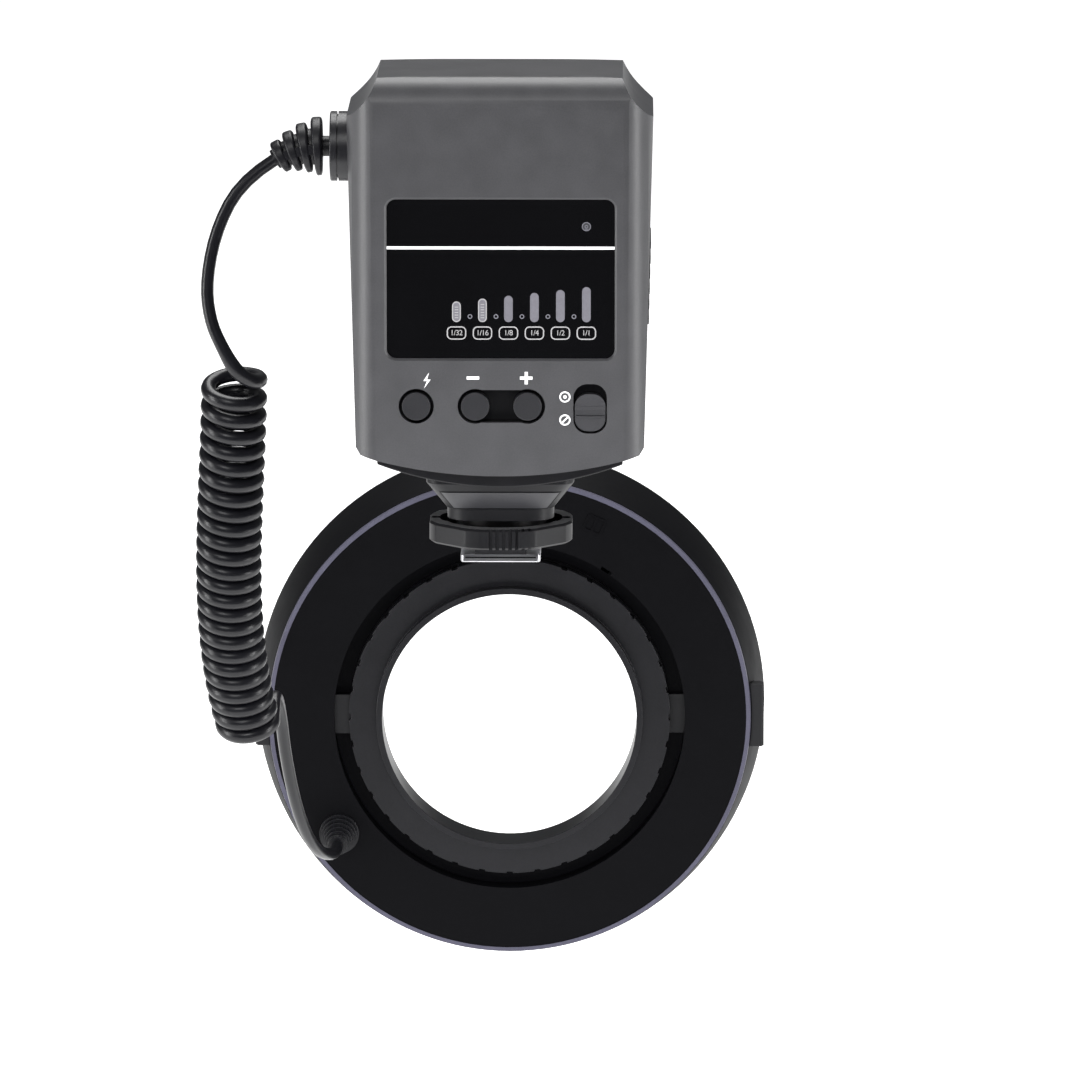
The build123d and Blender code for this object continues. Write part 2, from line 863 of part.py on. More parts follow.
# Four cells, laid head to tail
cell_left = cell_right - cell_length
with BuildPart() as cells:
    with BuildSketch(Plane.YZ.offset(cell_left)):
        with Locations(*cell_places):
            Circle(cell_radius)
    extrude(amount=cell_length - terminal_thick)
    for index, place in enumerate(cell_places):
        end = cell_right - terminal_thick if index in (0, 3) else cell_left - terminal_thick
        with BuildSketch(Plane.YZ.offset(end)):
            with Locations(place):
                Circle(terminal_radius)
        extrude(amount=terminal_thick)
cells.part.label = "cells"
export_step(cells.part, "parts/cells.step")


def hinge_plane(reach):
    """Plane across the door's hinge, so far to the rear of the door's rear edge."""
    place = door_plane.from_local_coords((door_rear - reach, hinge_radius, -hinge_radius))
    return Plane(origin=place, x_dir=door_normal, z_dir=(0, 1, 0))


# Battery door: a ribbed plate with a hinge barrel along its lower edge
with BuildPart() as battery_door:
    with BuildSketch(door_plane):
        with Locations((case_middle_y, (door_height + hinge_radius) / 2)):
            Rectangle(door_width, door_height - hinge_radius)
    extrude(amount=-door_thick)
    with BuildSketch(hinge_plane(0)):
        Circle(hinge_radius)
    extrude(amount=door_width)
    with BuildSketch(hinge_plane(0)):
        Circle(hinge_pin_radius + hole_gap)
    extrude(amount=door_width, mode=Mode.SUBTRACT)
    with BuildSketch(door_plane):
        for index in range(grip_count):
            with Locations((case_middle_y, grip_first_z - door_low + index * grip_pitch)):
                Rectangle(door_width - 2 * grip_margin, grip_height)
    extrude(amount=grip_proud)
battery_door.part.label = "battery_door"
export_step(battery_door.part, "parts/battery_door.step")

# Hinge pin, whose ends run in the casing's tracks
with BuildPart() as door_hinge_pin:
    with BuildSketch(hinge_plane(hinge_pin_reach)):
        Circle(hinge_pin_radius)
    extrude(amount=door_width + 2 * hinge_pin_reach)
door_hinge_pin.part.label = "door_hinge_pin"
export_step(door_hinge_pin.part, "parts/door_hinge_pin.step")

# Two strips on the inside of the door that join the cells in pairs
with BuildPart() as door_contacts:
    with BuildSketch(door_plane.offset(-door_thick)):
        for side in (-1, 1):
            with Locations((case_middle_y + side * cell_pitch / 2, case_middle_z - door_low)):
                Rectangle(door_contact_width, door_contact_height)
    extrude(amount=-door_contact_thick)
door_contacts.part.label = "door_contacts"
export_step(door_contacts.part, "parts/door_contacts.step")

# Flash capacitor, lying on the battery case
capacitor_z = case_middle_z + case_half + capacitor_radius + hole_gap
with BuildPart() as flash_capacitor:
    with BuildSketch(Plane.YZ.offset(-capacitor_length / 2)):
        with Locations((case_middle_y, capacitor_z)):
            Circle(capacitor_radius)
    extrude(amount=capacitor_length)
    fillet(flash_capacitor.edges().filter_by(GeomType.CIRCLE), radius=wheel_round)
flash_capacitor.part.label = "flash_capacitor"
export_step(flash_capacitor.part, "parts/flash_capacitor.step")

# Main board in the lower front, and the transformer on it
with BuildPart() as main_board:
    with BuildSketch(rear_plane(main_board_y + board_thick)):
        with Locations((0, (main_board_low + main_board_high) / 2)):
            Rectangle(main_board_width, main_board_high - main_board_low)
    extrude(amount=board_thick)
main_board.part.label = "main_board"
export_step(main_board.part, "parts/main_board.step")

with BuildPart() as transformer:
    with BuildSketch(rear_plane(main_board_y)):
        with Locations((transformer_x, transformer_z)):
            RectangleRounded(transformer_width, transformer_height, board_margin)
    extrude(amount=transformer_depth)
transformer.part.label = "transformer"
export_step(transformer.part, "parts/transformer.step")

# Base plate under the chin, its underside curved more than the chin
with BuildPart() as base_plate:
    with BuildSketch(rear_plane(casing_front - base_inset_front)):
        with BuildLine():
            Line((-base_half_width, base_corner_z), (-base_half_width, chin_corner))
            Line((-base_half_width, chin_corner), (base_half_width, chin_corner))
            Line((base_half_width, chin_corner), (base_half_width, base_corner_z))
            ThreePointArc(
                (base_half_width, base_corner_z),
                (0, base_middle),
                (-base_half_width, base_corner_z),
            )
        make_face()
    extrude(amount=casing_depth - base_inset_rear - base_inset_front)
    add(casing_outer, mode=Mode.SUBTRACT)
base_plate.part.label = "base_plate"
export_step(base_plate.part, "parts/base_plate.step")

# Neck, a tapered block with a rounded lower band
with BuildPart() as foot_neck:
    with BuildSketch(Plane.XY.offset(neck_top)):
        RectangleRounded(2 * neck_top_half, 2 * neck_top_half, neck_corner)
    extrude(amount=chin_corner - neck_top)
    with BuildSketch(Plane.XY.offset(neck_top)):
        RectangleRounded(2 * neck_top_half, 2 * neck_top_half, neck_corner)
    with BuildSketch(Plane.XY.offset(neck_mid)):
        RectangleRounded(2 * neck_low_half, 2 * neck_low_half, neck_corner)
    loft()
    with BuildSketch(Plane.XY.offset(neck_low)):
        RectangleRounded(
            2 * (neck_low_half - hole_gap), 2 * (neck_low_half - hole_gap), neck_lower_corner
        )
    extrude(amount=neck_mid - neck_low)
    add(base_plate.part, mode=Mode.SUBTRACT)
    add(casing_outer, mode=Mode.SUBTRACT)
foot_neck.part.label = "foot_neck"
export_step(foot_neck.part, "parts/foot_neck.step")

# Stem that carries the wheel, keyed to pass between the rails of a camera's shoe
pin_cavity_radius = contact_pin_radius + contact_pin_shoulder + loose_gap
pin_shoulder_low = foot_thick + running_gap
pin_shoulder_high = contact_pin_length
spring_top = pin_shoulder_high + contact_spring_height
with BuildPart() as foot_stem:
    with BuildSketch(Plane.XY.offset(clamp_low)):
        Circle(stem_radius)
    extrude(amount=neck_low - clamp_low)
    with BuildSketch(Plane.XY.offset(foot_thick)):
        Rectangle(stem_foot_width, stem_foot_length)
    extrude(amount=clamp_low - foot_thick)
    with BuildSketch(Plane.XY.offset(foot_thick)):
        Circle(pin_cavity_radius)
    extrude(amount=spring_top - foot_thick, mode=Mode.SUBTRACT)
    with BuildSketch(Plane.XY.offset(foot_thick)):
        with Locations((0, lock_pin_y)):
            Circle(lock_pin_radius + running_gap)
    extrude(amount=lock_pin_top + lock_pin_rise + running_gap - foot_thick, mode=Mode.SUBTRACT)
    with BuildSketch(Plane.XY.offset(foot_thick)):
        with GridLocations(2 * foot_screw_x, 2 * foot_screw_y, 2, 2):
            Circle(foot_screw_radius)
    extrude(amount=foot_screw_length, mode=Mode.SUBTRACT)
foot_stem.part.label = "foot_stem"
export_step(foot_stem.part, "parts/foot_stem.step")

# Clamp plate, which the wheel presses on the rails
with BuildPart() as clamp_plate:
    with BuildSketch(Plane.XY.offset(clamp_low)):
        Circle(clamp_radius)
        Circle(stem_radius + running_gap, mode=Mode.SUBTRACT)
    extrude(amount=clamp_thick)
clamp_plate.part.label = "clamp_plate"
export_step(clamp_plate.part, "parts/clamp_plate.step")

# Locking wheel: a faceted ring with grip ribs at its back and front
wheel_rib_angles = [
    heading + wheel_rib_turn + (index - (wheel_rib_count - 1) / 2) * wheel_rib_step
    for heading in (-90, 90)
    for index in range(wheel_rib_count)
]
with BuildPart() as locking_wheel:
    with BuildSketch(Plane.XY.offset(wheel_low)):
        Circle(wheel_radius)
        RegularPolygon(
            wheel_radius * wheel_flat_share,
            wheel_sides,
            major_radius=False,
            rotation=180 / wheel_sides,
            mode=Mode.INTERSECT,
        )
    extrude(amount=wheel_high - wheel_low)
    rims = locking_wheel.faces().filter_by(Axis.Z)
    chamfer(rims.edges(), length=wheel_round)
    for angle in wheel_rib_angles:
        with BuildSketch(Plane.XY.offset(wheel_low)):
            with Locations(Rot(0, 0, angle) * Pos(wheel_radius * wheel_flat_share, 0)):
                Rectangle(2 * wheel_rib_depth, wheel_rib_width)
        extrude(amount=wheel_high - wheel_low, mode=Mode.SUBTRACT)
    with BuildSketch(Plane.XY.offset(wheel_high)):
        Circle(wheel_recess_radius)
    extrude(amount=-wheel_recess_depth, mode=Mode.SUBTRACT)
    with BuildSketch(Plane.XY.offset(wheel_high)):
        with PolarLocations(wheel_hole_offset, 2):
            Circle(wheel_hole_radius)
    extrude(amount=-2 * wheel_recess_depth, mode=Mode.SUBTRACT)
    with BuildSketch(Plane.XY.offset(wheel_low)):
        Circle(clamp_radius + running_gap)
    extrude(amount=clamp_low + clamp_thick + running_gap - wheel_low, mode=Mode.SUBTRACT)
    with BuildSketch(Plane.XY.offset(wheel_low)):
        Circle(stem_radius + running_gap)
    extrude(amount=wheel_high - wheel_low, mode=Mode.SUBTRACT)
locking_wheel.part.label = "locking_wheel"
export_step(locking_wheel.part, "parts/locking_wheel.step")

# Shoe foot: the metal plate that slides into the camera's shoe
with BuildPart() as shoe_foot:
    with BuildSketch(Plane.XY):
        RectangleRounded(foot_width, foot_length, foot_corner)
    extrude(amount=foot_thick)
    fillet(shoe_foot.faces().filter_by(Axis.Z).edges(), radius=foot_edge_round)
    with BuildSketch(Plane.XY):
        Rectangle(contact_block_width, contact_block_length)
        with Locations((0, lock_pin_y)):
            Circle(lock_pin_radius + running_gap)
        with GridLocations(2 * foot_screw_x, 2 * foot_screw_y, 2, 2):
            Circle(foot_screw_radius)
    extrude(amount=foot_thick, mode=Mode.SUBTRACT)
    with BuildSketch(Plane.XY):
        with GridLocations(2 * foot_screw_x, 2 * foot_screw_y, 2, 2):
            Circle(foot_screw_head)
    extrude(amount=foot_screw_head_thick, mode=Mode.SUBTRACT)
shoe_foot.part.label = "shoe_foot"
export_step(shoe_foot.part, "parts/shoe_foot.step")

with BuildPart() as foot_screws:
    with BuildSketch(Plane.XY):
        with GridLocations(2 * foot_screw_x, 2 * foot_screw_y, 2, 2):
            Circle(foot_screw_head)
    extrude(amount=foot_screw_head_thick)
    with BuildSketch(Plane.XY.offset(foot_screw_head_thick)):
        with GridLocations(2 * foot_screw_x, 2 * foot_screw_y, 2, 2):
            Circle(foot_screw_radius)
    extrude(amount=foot_screw_length - foot_screw_head_thick)
    with BuildSketch(Plane.XY):
        with GridLocations(2 * foot_screw_x, 2 * foot_screw_y, 2, 2):
            Rectangle(foot_screw_head, screw_slot / 2)
            Rectangle(screw_slot / 2, foot_screw_head)
    extrude(amount=foot_screw_head_thick / 2, mode=Mode.SUBTRACT)
foot_screws.part.label = "foot_screws"
export_step(foot_screws.part, "parts/foot_screws.step")

# Contact block with the centre contact's pin, its spring, and the lock pin in front of it
with BuildPart() as contact_block:
    with BuildSketch(Plane.XY):
        Rectangle(contact_block_width, contact_block_length)
        Circle(contact_pin_radius + running_gap, mode=Mode.SUBTRACT)
    extrude(amount=foot_thick)
contact_block.part.label = "contact_block"
export_step(contact_block.part, "parts/contact_block.step")

with BuildPart() as contact_pin:
    with BuildSketch(Plane.XY):
        Circle(contact_pin_radius)
    extrude(amount=pin_shoulder_high)
    with BuildSketch(Plane.XY.offset(pin_shoulder_low)):
        Circle(contact_pin_radius + contact_pin_shoulder)
    extrude(amount=pin_shoulder_high - pin_shoulder_low)
contact_pin.part.label = "contact_pin"
export_step(contact_pin.part, "parts/contact_pin.step")

with BuildPart() as contact_spring:
    with BuildSketch(Plane.XY.offset(pin_shoulder_high)):
        Circle(contact_pin_radius + contact_pin_shoulder)
        Circle(contact_pin_radius, mode=Mode.SUBTRACT)
    extrude(amount=contact_spring_height)
contact_spring.part.label = "contact_spring"
export_step(contact_spring.part, "parts/contact_spring.step")

with BuildPart() as lock_pin:
    with BuildSketch(Plane.XY.offset(-lock_pin_reach)):
        with Locations((0, lock_pin_y)):
            Circle(lock_pin_radius)
    extrude(amount=lock_pin_top + lock_pin_reach)
    chamfer(lock_pin.edges().sort_by(Axis.Z)[0], length=foot_edge_round)
lock_pin.part.label = "lock_pin"
export_step(lock_pin.part, "parts/lock_pin.step")

# Cord collar: a grooved ring outside the casing and a threaded neck through its wall
collar_end = collar_barrel + collar_groove + collar_disc
with BuildPart() as cord_collar:
    with BuildSketch(collar_plane):
        Circle(collar_radius)
    extrude(amount=collar_barrel)
    with BuildSketch(collar_plane.offset(collar_barrel)):
        Circle(collar_radius - collar_groove_depth)
    extrude(amount=collar_groove)
    with BuildSketch(collar_plane.offset(collar_barrel + collar_groove)):
        Circle(collar_radius)
    extrude(amount=collar_disc)
    fillet(cord_collar.edges().sort_by(Axis.X)[0], radius=collar_groove)
    with BuildSketch(collar_plane):
        Circle(collar_thread_radius)
    extrude(amount=-collar_thread_length)
    with BuildSketch(collar_plane.offset(-collar_thread_length)):
        Circle(cord_radius + hole_gap)
    extrude(amount=collar_thread_length + collar_barrel, mode=Mode.SUBTRACT)
cord_collar.part.label = "cord_collar"
export_step(cord_collar.part, "parts/cord_collar.step")

# Nut that clamps the collar from inside
nut_side = min(side_half(collar_z + side * collar_nut_radius) for side in (-1, 1))
nut_face = half_top - nut_side + casing_wall + running_gap
with BuildPart() as collar_nut:
    with BuildSketch(collar_plane.offset(-nut_face)):
        RegularPolygon(collar_nut_radius, 6)
        Circle(collar_thread_radius, mode=Mode.SUBTRACT)
    extrude(amount=-collar_nut_thick)
collar_nut.part.label = "collar_nut"
export_step(collar_nut.part, "parts/collar_nut.step")


def ribbed_boot(start, middle_point, end, heading, first_radius, last_radius, core, ribs, share):
    """Tapered strain relief along an arc through three points: a core, discs and webs."""
    with BuildPart(mode=Mode.PRIVATE) as boot:
        with BuildLine():
            run = ThreePointArc(start, middle_point, end)
        with BuildSketch(Plane(origin=start, z_dir=heading)):
            Circle(core)
        sweep()
        step = run.length / ribs
        for index in range(ribs):
            place = (index + 1 - share / 2) / ribs
            radius = first_radius + (last_radius - first_radius) * index / (ribs - 1)
            disc = Plane(origin=run @ place, z_dir=run % place)
            with BuildSketch(disc.offset(-step * share / 2)):
                Circle(radius)
            extrude(amount=step * share)
        for index in range(ribs - 1):
            place = (index + 1.5 - share / 2) / ribs
            radius = first_radius + (last_radius - first_radius) * (index + 1) / (ribs - 1)
            tall = index % 2 == 0
            web = Plane(origin=run @ place, x_dir=(0, 1, 0), z_dir=run % place)
            if abs(heading[1]) > abs(heading[0]):
                web = Plane(origin=run @ place, x_dir=(1, 0, 0), z_dir=run % place)
            with BuildSketch(web.offset(-step / 2)):
                Rectangle(
                    boot_web_thick if tall else 2 * radius - boot_web_thick,
                    2 * radius - boot_web_thick if tall else boot_web_thick,
                )
            extrude(amount=step)
        split(bisect_by=Plane(origin=run @ 1, z_dir=run % 1), keep=Keep.BOTTOM)
    return boot.part


# Strain relief at the controller, a straight stub and a ribbed arc that droops
boot_start = -half_top - collar_end
arc_start = boot_start - boot_stub
arc_radius = boot_length / math.radians(boot_turn)


def boot_point(turn):
    """Point of the drooping arc after it has turned by so many degrees."""
    angle = math.radians(turn)
    return (
        arc_start - arc_radius * math.sin(angle),
        collar_y,
        collar_z - arc_radius * (1 - math.cos(angle)),
    )


boot_arc = ribbed_boot(
    boot_point(0),
    boot_point(boot_turn / 2),
    boot_point(boot_turn),
    (-1, 0, 0),
    boot_radius_first,
    boot_radius_last,
    boot_core_radius,
    boot_rib_count,
    boot_rib_share,
)
with BuildPart() as cord_boot:
    add(boot_arc)
    with BuildSketch(collar_plane.offset(collar_end)):
        Circle(boot_core_radius)
    extrude(amount=boot_stub)
cord_boot.part.label = "cord_boot"
export_step(cord_boot.part, "parts/cord_boot.step")

# Strain relief at the lamp head, straight back from its rear face
head_boot_track = head_radius_rear - head_boot_inset
head_boot_x = head_boot_track * math.cos(math.radians(head_boot_angle))
head_boot_z = head_z + head_boot_track * math.sin(math.radians(head_boot_angle))
with BuildPart() as head_boot:
    with BuildSketch(rear_plane(head_rear)):
        with Locations((head_boot_x, head_boot_z)):
            Circle(boot_core_radius)
    extrude(amount=head_boot_length)
    for index in range(head_boot_rib_count):
        step = head_boot_length / head_boot_rib_count
        fall = (head_boot_radius_first - head_boot_radius_last) / (head_boot_rib_count - 1)
        with BuildSketch(rear_plane(head_rear - index * step)):
            with Locations((head_boot_x, head_boot_z)):
                Circle(head_boot_radius_first - index * fall)
        extrude(amount=step * head_boot_rib_share)
head_boot.part.label = "head_boot"
export_step(head_boot.part, "parts/head_boot.step")


def cord_tube(points):
    """Tube along straight runs joined by arcs as large as the runs allow."""
    corners = [Vector(*point) for point in points]
    radii = []
    for before, corner, after in zip(corners, corners[1:], corners[2:]):
        turn = math.radians((corner - before).get_angle(after - corner))
        shorter = min((corner - before).length, (after - corner).length)
        radii.append(0.45 * shorter / math.tan(turn / 2))
    print("cord arcs:", ", ".join(f"{radius:.1f}" for radius in radii))
    with BuildPart(mode=Mode.PRIVATE) as tube:
        with BuildLine():
            route = FilletPolyline(*corners, radius=radii)
        with BuildSketch(Plane(origin=route @ 0, z_dir=route % 0)):
            Circle(cord_radius)
        sweep()
    exact = math.pi * cord_radius**2 * route.length
    print(f"cord length {route.length:.1f}, volume {tube.part.volume:.1f} of {exact:.1f}")
    return tube.part


# The coil's axis is a smooth curve through its first and last point. Turns follow it at a close
# pitch, a little open at the top, where the wire also drops steeply into its first turn.
axis_points = [Vector(*point) for point in coil_axis_points]


def coil_axis(share):
    """Point and direction of the coil's axis at a share of its run."""
    a, b, c, d = axis_points
    rest = 1 - share
    point = a * rest**3 + b * (3 * rest**2 * share) + c * (3 * rest * share**2) + d * share**3
    slope = (b - a) * rest**2 + (c - b) * (2 * rest * share) + (d - c) * share**2
    return point, slope.normalized()


axis_steps = 400
axis_lengths = [0]
for step in range(axis_steps):
    chord = coil_axis((step + 1) / axis_steps)[0] - coil_axis(step / axis_steps)[0]
    axis_lengths.append(axis_lengths[-1] + chord.length)


def coil_share(distance):
    """Share of the axis curve's run at a distance along it."""
    step = 0
    while step < axis_steps - 1 and axis_lengths[step + 1] < distance:
        step += 1
    part = (distance - axis_lengths[step]) / (axis_lengths[step + 1] - axis_lengths[step])
    return (step + part) / axis_steps


close_run = axis_lengths[-1] - coil_spread - coil_drop
whole_turns = math.floor(close_run / coil_pitch)
coil_turns = whole_turns + (coil_last_turn - coil_first_turn) / 360
close_pitch = close_run / coil_turns


def coil_point(turn):
    """Point of the wire's middle line after so many turns."""
    spread = coil_spread * (1 - math.exp(-turn / coil_spread_turns))
    drop = coil_drop * (1 - math.exp(-turn / coil_drop_turns))
    point, along = coil_axis(coil_share(turn * close_pitch + spread + drop))
    side = (Vector(1, 0, 0) - along * along.X).normalized()
    away = side.cross(along)
    angle = math.radians(coil_first_turn + turn * 360)
    return point + side * (coil_radius * math.cos(angle)) + away * (coil_radius * math.sin(angle))


def coil_heading(turn):
    """Direction of the wire after so many turns."""
    small = 1 / 1000
    before = max(turn - small, 0)
    return (coil_point(before + 2 * small) - coil_point(before)).normalized()


def add_biarc(start, start_heading, end, end_heading):
    """Two arcs that join two points and keep the direction of each."""
    chord = end - start
    both = start_heading + end_heading
    bend = 2 * (1 - start_heading.dot(end_heading))
    along = chord.dot(both)
    reach = (math.sqrt(along**2 + bend * chord.dot(chord)) - along) / bend
    first = start + start_heading * reach
    last = end - end_heading * reach
    TangentArc(start, (first + last) / 2, tangent=start_heading)
    TangentArc((first + last) / 2, end, tangent=last - first)


quarter_stops = [index / 4 for index in range(4)]
half_stops = [1 + index / 2 for index in range(2 * whole_turns - 1)]
coil_stops = quarter_stops + half_stops + [coil_turns]
coil_ends = (
    coil_point(0) - coil_heading(0) * cord_diameter,
    coil_point(coil_turns) + coil_heading(coil_turns) * cord_diameter,
)

# Curly part of the cord, one unbroken tube with a straight lead at each end
with BuildPart() as cord_coil:
    with BuildLine() as coil_line:
        Line(coil_ends[0], coil_point(0))
        for first_stop, last_stop in zip(coil_stops, coil_stops[1:]):
            add_biarc(
                coil_point(first_stop),
                coil_heading(first_stop),
                coil_point(last_stop),
                coil_heading(last_stop),
            )
        Line(coil_point(coil_turns), coil_ends[1])
    with BuildSketch(Plane(origin=coil_ends[0], z_dir=coil_heading(0))):
        Circle(cord_radius)
    sweep()
cord_coil.part.label = "cord_coil"
export_step(cord_coil.part, "parts/cord_coil.step")

# Least gap between neighbouring turns, measured on points of the wire's middle line
samples = 48
wire_points = [coil_point(index / samples) for index in range(int(coil_turns * samples) + 1)]
least_gap = min(
    (wire_points[index] - wire_points[other]).length
    for index in range(len(wire_points))
    for other in range(index + samples // 2, min(index + 2 * samples, len(wire_points)))
) - cord_diameter
coil_length = sum(edge.length for edge in coil_line.edges())
print(f"coil turns {coil_turns:.2f}, pitch {close_pitch:.2f}, least gap {least_gap:.2f}")
exact_volume = math.pi * cord_radius**2 * coil_length
print(f"coil wire {coil_length:.0f}, volume {cord_coil.part.volume:.0f} of {exact_volume:.0f}")

# Free stretches of the cord, above and below the coil
cord_upper = cord_tube([boot_point(boot_turn), *cord_upper_points, tuple(coil_ends[0])])
cord_upper.label = "cord_upper"
export_step(cord_upper, "parts/cord_upper.step")

head_boot_end = (head_boot_x, head_rear - head_boot_length, head_boot_z)
cord_lower = cord_tube([tuple(coil_ends[1]), *cord_lower_points, head_boot_end])
cord_lower.label = "cord_lower"
export_step(cord_lower, "parts/cord_lower.step")

# Ring head. Every round piece is turned about the lens axis, which runs along Y.
lens_axis = Axis((0, 0, head_z), (0, -1, 0))


def head_section(angle):
    """Plane through the lens axis at an angle above +X: its x is the radius and its y is Y."""
    turn = math.radians(angle)
    return Plane(
        origin=(0, 0, head_z),
        x_dir=(math.cos(turn), 0, math.sin(turn)),
        z_dir=(-math.sin(turn), 0, math.cos(turn)),
    )


def head_place(angle, radius):
    """X and Z of a point at an angle and a radius about the lens axis."""
    turn = math.radians(angle)
    return (radius * math.cos(turn), head_z + radius * math.sin(turn))


def head_ring(inner, outer, rear, front, start=0, span=360):
    """Square-edged ring about the lens axis, or a part of one."""
    with BuildPart(mode=Mode.PRIVATE) as ring:
        with BuildSketch(head_section(start)):
            with Locations(((inner + outer) / 2, (rear + front) / 2)):
                Rectangle(outer - inner, front - rear)
        revolve(axis=lens_axis, revolution_arc=span)
    return ring.part


def head_block(angle, inner, outer, width, rear, front):
    """Block that points along a radius, with its width across it."""
    with BuildPart(mode=Mode.PRIVATE) as block:
        with BuildSketch(head_section(angle)):
            with Locations(((inner + outer) / 2, (rear + front) / 2)):
                Rectangle(outer - inner, front - rear)
        extrude(amount=width / 2, both=True)
    return block.part


def flank_radius(y):
    """Radius of a straight flank at depth y, inside the slightly bulged one."""
    share = (y - head_rear) / head_depth
    return head_radius_rear + (head_radius_front - head_radius_rear) * share


bezel_rear = head_front - bezel_thick
flank_middle = flank_radius((head_rear + bezel_rear) / 2) + head_flank_bulge
latch_second_y = latch_first_y + latch_thick + latch_gap
latch_depths = {0: latch_first_y, 180: latch_second_y}
latch_middle_y = latch_first_y + latch_thick + latch_gap / 2
half_lamp_gap = lamp_gap_angle / 2
lamp_span = 180 - lamp_gap_angle
lamp_starts = {"right": -90 + half_lamp_gap, "left": 90 + half_lamp_gap}
button_rear = latch_middle_y - latch_button_depth / 2
button_front = latch_middle_y + latch_button_depth / 2

# Openings in the head: one for each release button in the flank and one for each claw
flank_windows = [
    head_block(
        angle,
        latch_button_root - latch_travel - loose_gap,
        head_radius_front + overrun,
        latch_button_width + 2 * loose_gap,
        button_rear - loose_gap,
        button_front + loose_gap,
    )
    for angle in latch_depths
]
claw_windows = [
    head_block(
        angle + 180,
        head_opening_radius - overrun,
        inner_wall_outer + overrun,
        claw_width + 2 * loose_gap,
        depth - loose_gap,
        depth + latch_thick + loose_gap,
    )
    for angle, depth in latch_depths.items()
]
lamp_board_posts = [45, 135, 225, 315]
post_track = latch_outer + latch_travel + post_radius + running_gap
mark_place = head_place(mark_angle, head_radius_rear - mark_inset)

# The seat's lip, in which the adapter ring turns, lies in front of the claws
lip_radius = adapter_radius + seat_lip_gap
lip_rear = adapter_groove_high + loose_gap

# Rear casing of the head: flank, rear wall and inner wall with the adapter's seat
with BuildPart() as head_rear_housing:
    with BuildSketch(head_section(0)):
        with BuildLine():
            Line((head_opening_radius, head_rear), (head_radius_rear, head_rear))
            ThreePointArc(
                (head_radius_rear, head_rear),
                (flank_middle, (head_rear + bezel_rear) / 2),
                (head_radius_front, bezel_rear),
            )
            Line((head_radius_front, bezel_rear), (head_radius_front - head_wall, bezel_rear))
            ThreePointArc(
                (head_radius_front - head_wall, bezel_rear),
                (flank_middle - head_wall, (head_rear + bezel_rear) / 2),
                (head_radius_rear - head_wall, head_rear + head_wall),
            )
            Line(
                (head_radius_rear - head_wall, head_rear + head_wall),
                (inner_wall_outer, head_rear + head_wall),
            )
            Line((inner_wall_outer, head_rear + head_wall), (inner_wall_outer, bezel_rear))
            Line((inner_wall_outer, bezel_rear), (head_opening_radius, bezel_rear))
            Line((head_opening_radius, bezel_rear), (head_opening_radius, seat_rear + seat_thick))
            Line((head_opening_radius, seat_rear + seat_thick), (seat_radius, seat_rear + seat_thick))
            Line((seat_radius, seat_rear + seat_thick), (seat_radius, seat_rear))
            Line((seat_radius, seat_rear), (lip_radius, seat_rear))
            Line((lip_radius, seat_rear), (lip_radius, lip_rear))
            Line((lip_radius, lip_rear), (head_opening_radius, lip_rear))
            Line((head_opening_radius, lip_rear), (head_opening_radius, head_rear))
        make_face()
    revolve(axis=lens_axis)
    with BuildSketch(rear_plane(lamp_board_rear)):
        with Locations(*[head_place(angle, post_track) for angle in lamp_board_posts]):
            Circle(post_radius)
    extrude(amount=lamp_board_rear - head_rear - head_wall)
    with BuildSketch(rear_plane(head_rear)):
        with Locations(Pos(*mark_place) * Rot(0, 0, mark_angle - 90)):
            RectangleRounded(mark_width, mark_height, mark_corner)
            RectangleRounded(
                mark_width - 2 * mark_line,
                mark_height - 2 * mark_line,
                mark_corner / 2,
                mode=Mode.SUBTRACT,
            )
            Rectangle(mark_line, mark_height)
    extrude(amount=mark_proud)
    add(
        head_ring(
            head_radius_rear - rim_line_width,
            head_radius_rear + overrun,
            head_rear - overrun,
            head_rear + rim_line_depth,
        ),
        mode=Mode.SUBTRACT,
    )
    add(
        head_block(
            inner_notch_angle,
            head_opening_radius - overrun,
            head_opening_radius + inner_notch_depth,
            inner_notch_width,
            head_rear - overrun,
            seat_rear,
        ),
        mode=Mode.SUBTRACT,
    )
    for window in flank_windows + claw_windows:
        add(window, mode=Mode.SUBTRACT)
    with BuildSketch(rear_plane(lamp_board_rear)):
        with Locations(*[head_place(angle, post_track) for angle in lamp_board_posts]):
            Circle(screw_radius)
    extrude(amount=lamp_board_rear - head_rear - head_wall, mode=Mode.SUBTRACT)
head_rear_housing.part.label = "head_rear_housing"
export_step(head_rear_housing.part, "parts/head_rear_housing.step")

# Pale line set into the rear edge of the flank
with BuildPart() as rim_line:
    with BuildSketch(head_section(0)):
        with BuildLine():
            Polyline(
                (head_radius_rear - rim_line_width, head_rear - rim_line_proud),
                (head_radius_rear, head_rear - rim_line_proud),
                (flank_radius(head_rear + rim_line_depth), head_rear + rim_line_depth),
                (head_radius_rear - rim_line_width, head_rear + rim_line_depth),
                close=True,
            )
        make_face()
    revolve(axis=lens_axis)
rim_line.part.label = "rim_line"
export_step(rim_line.part, "parts/rim_line.step")

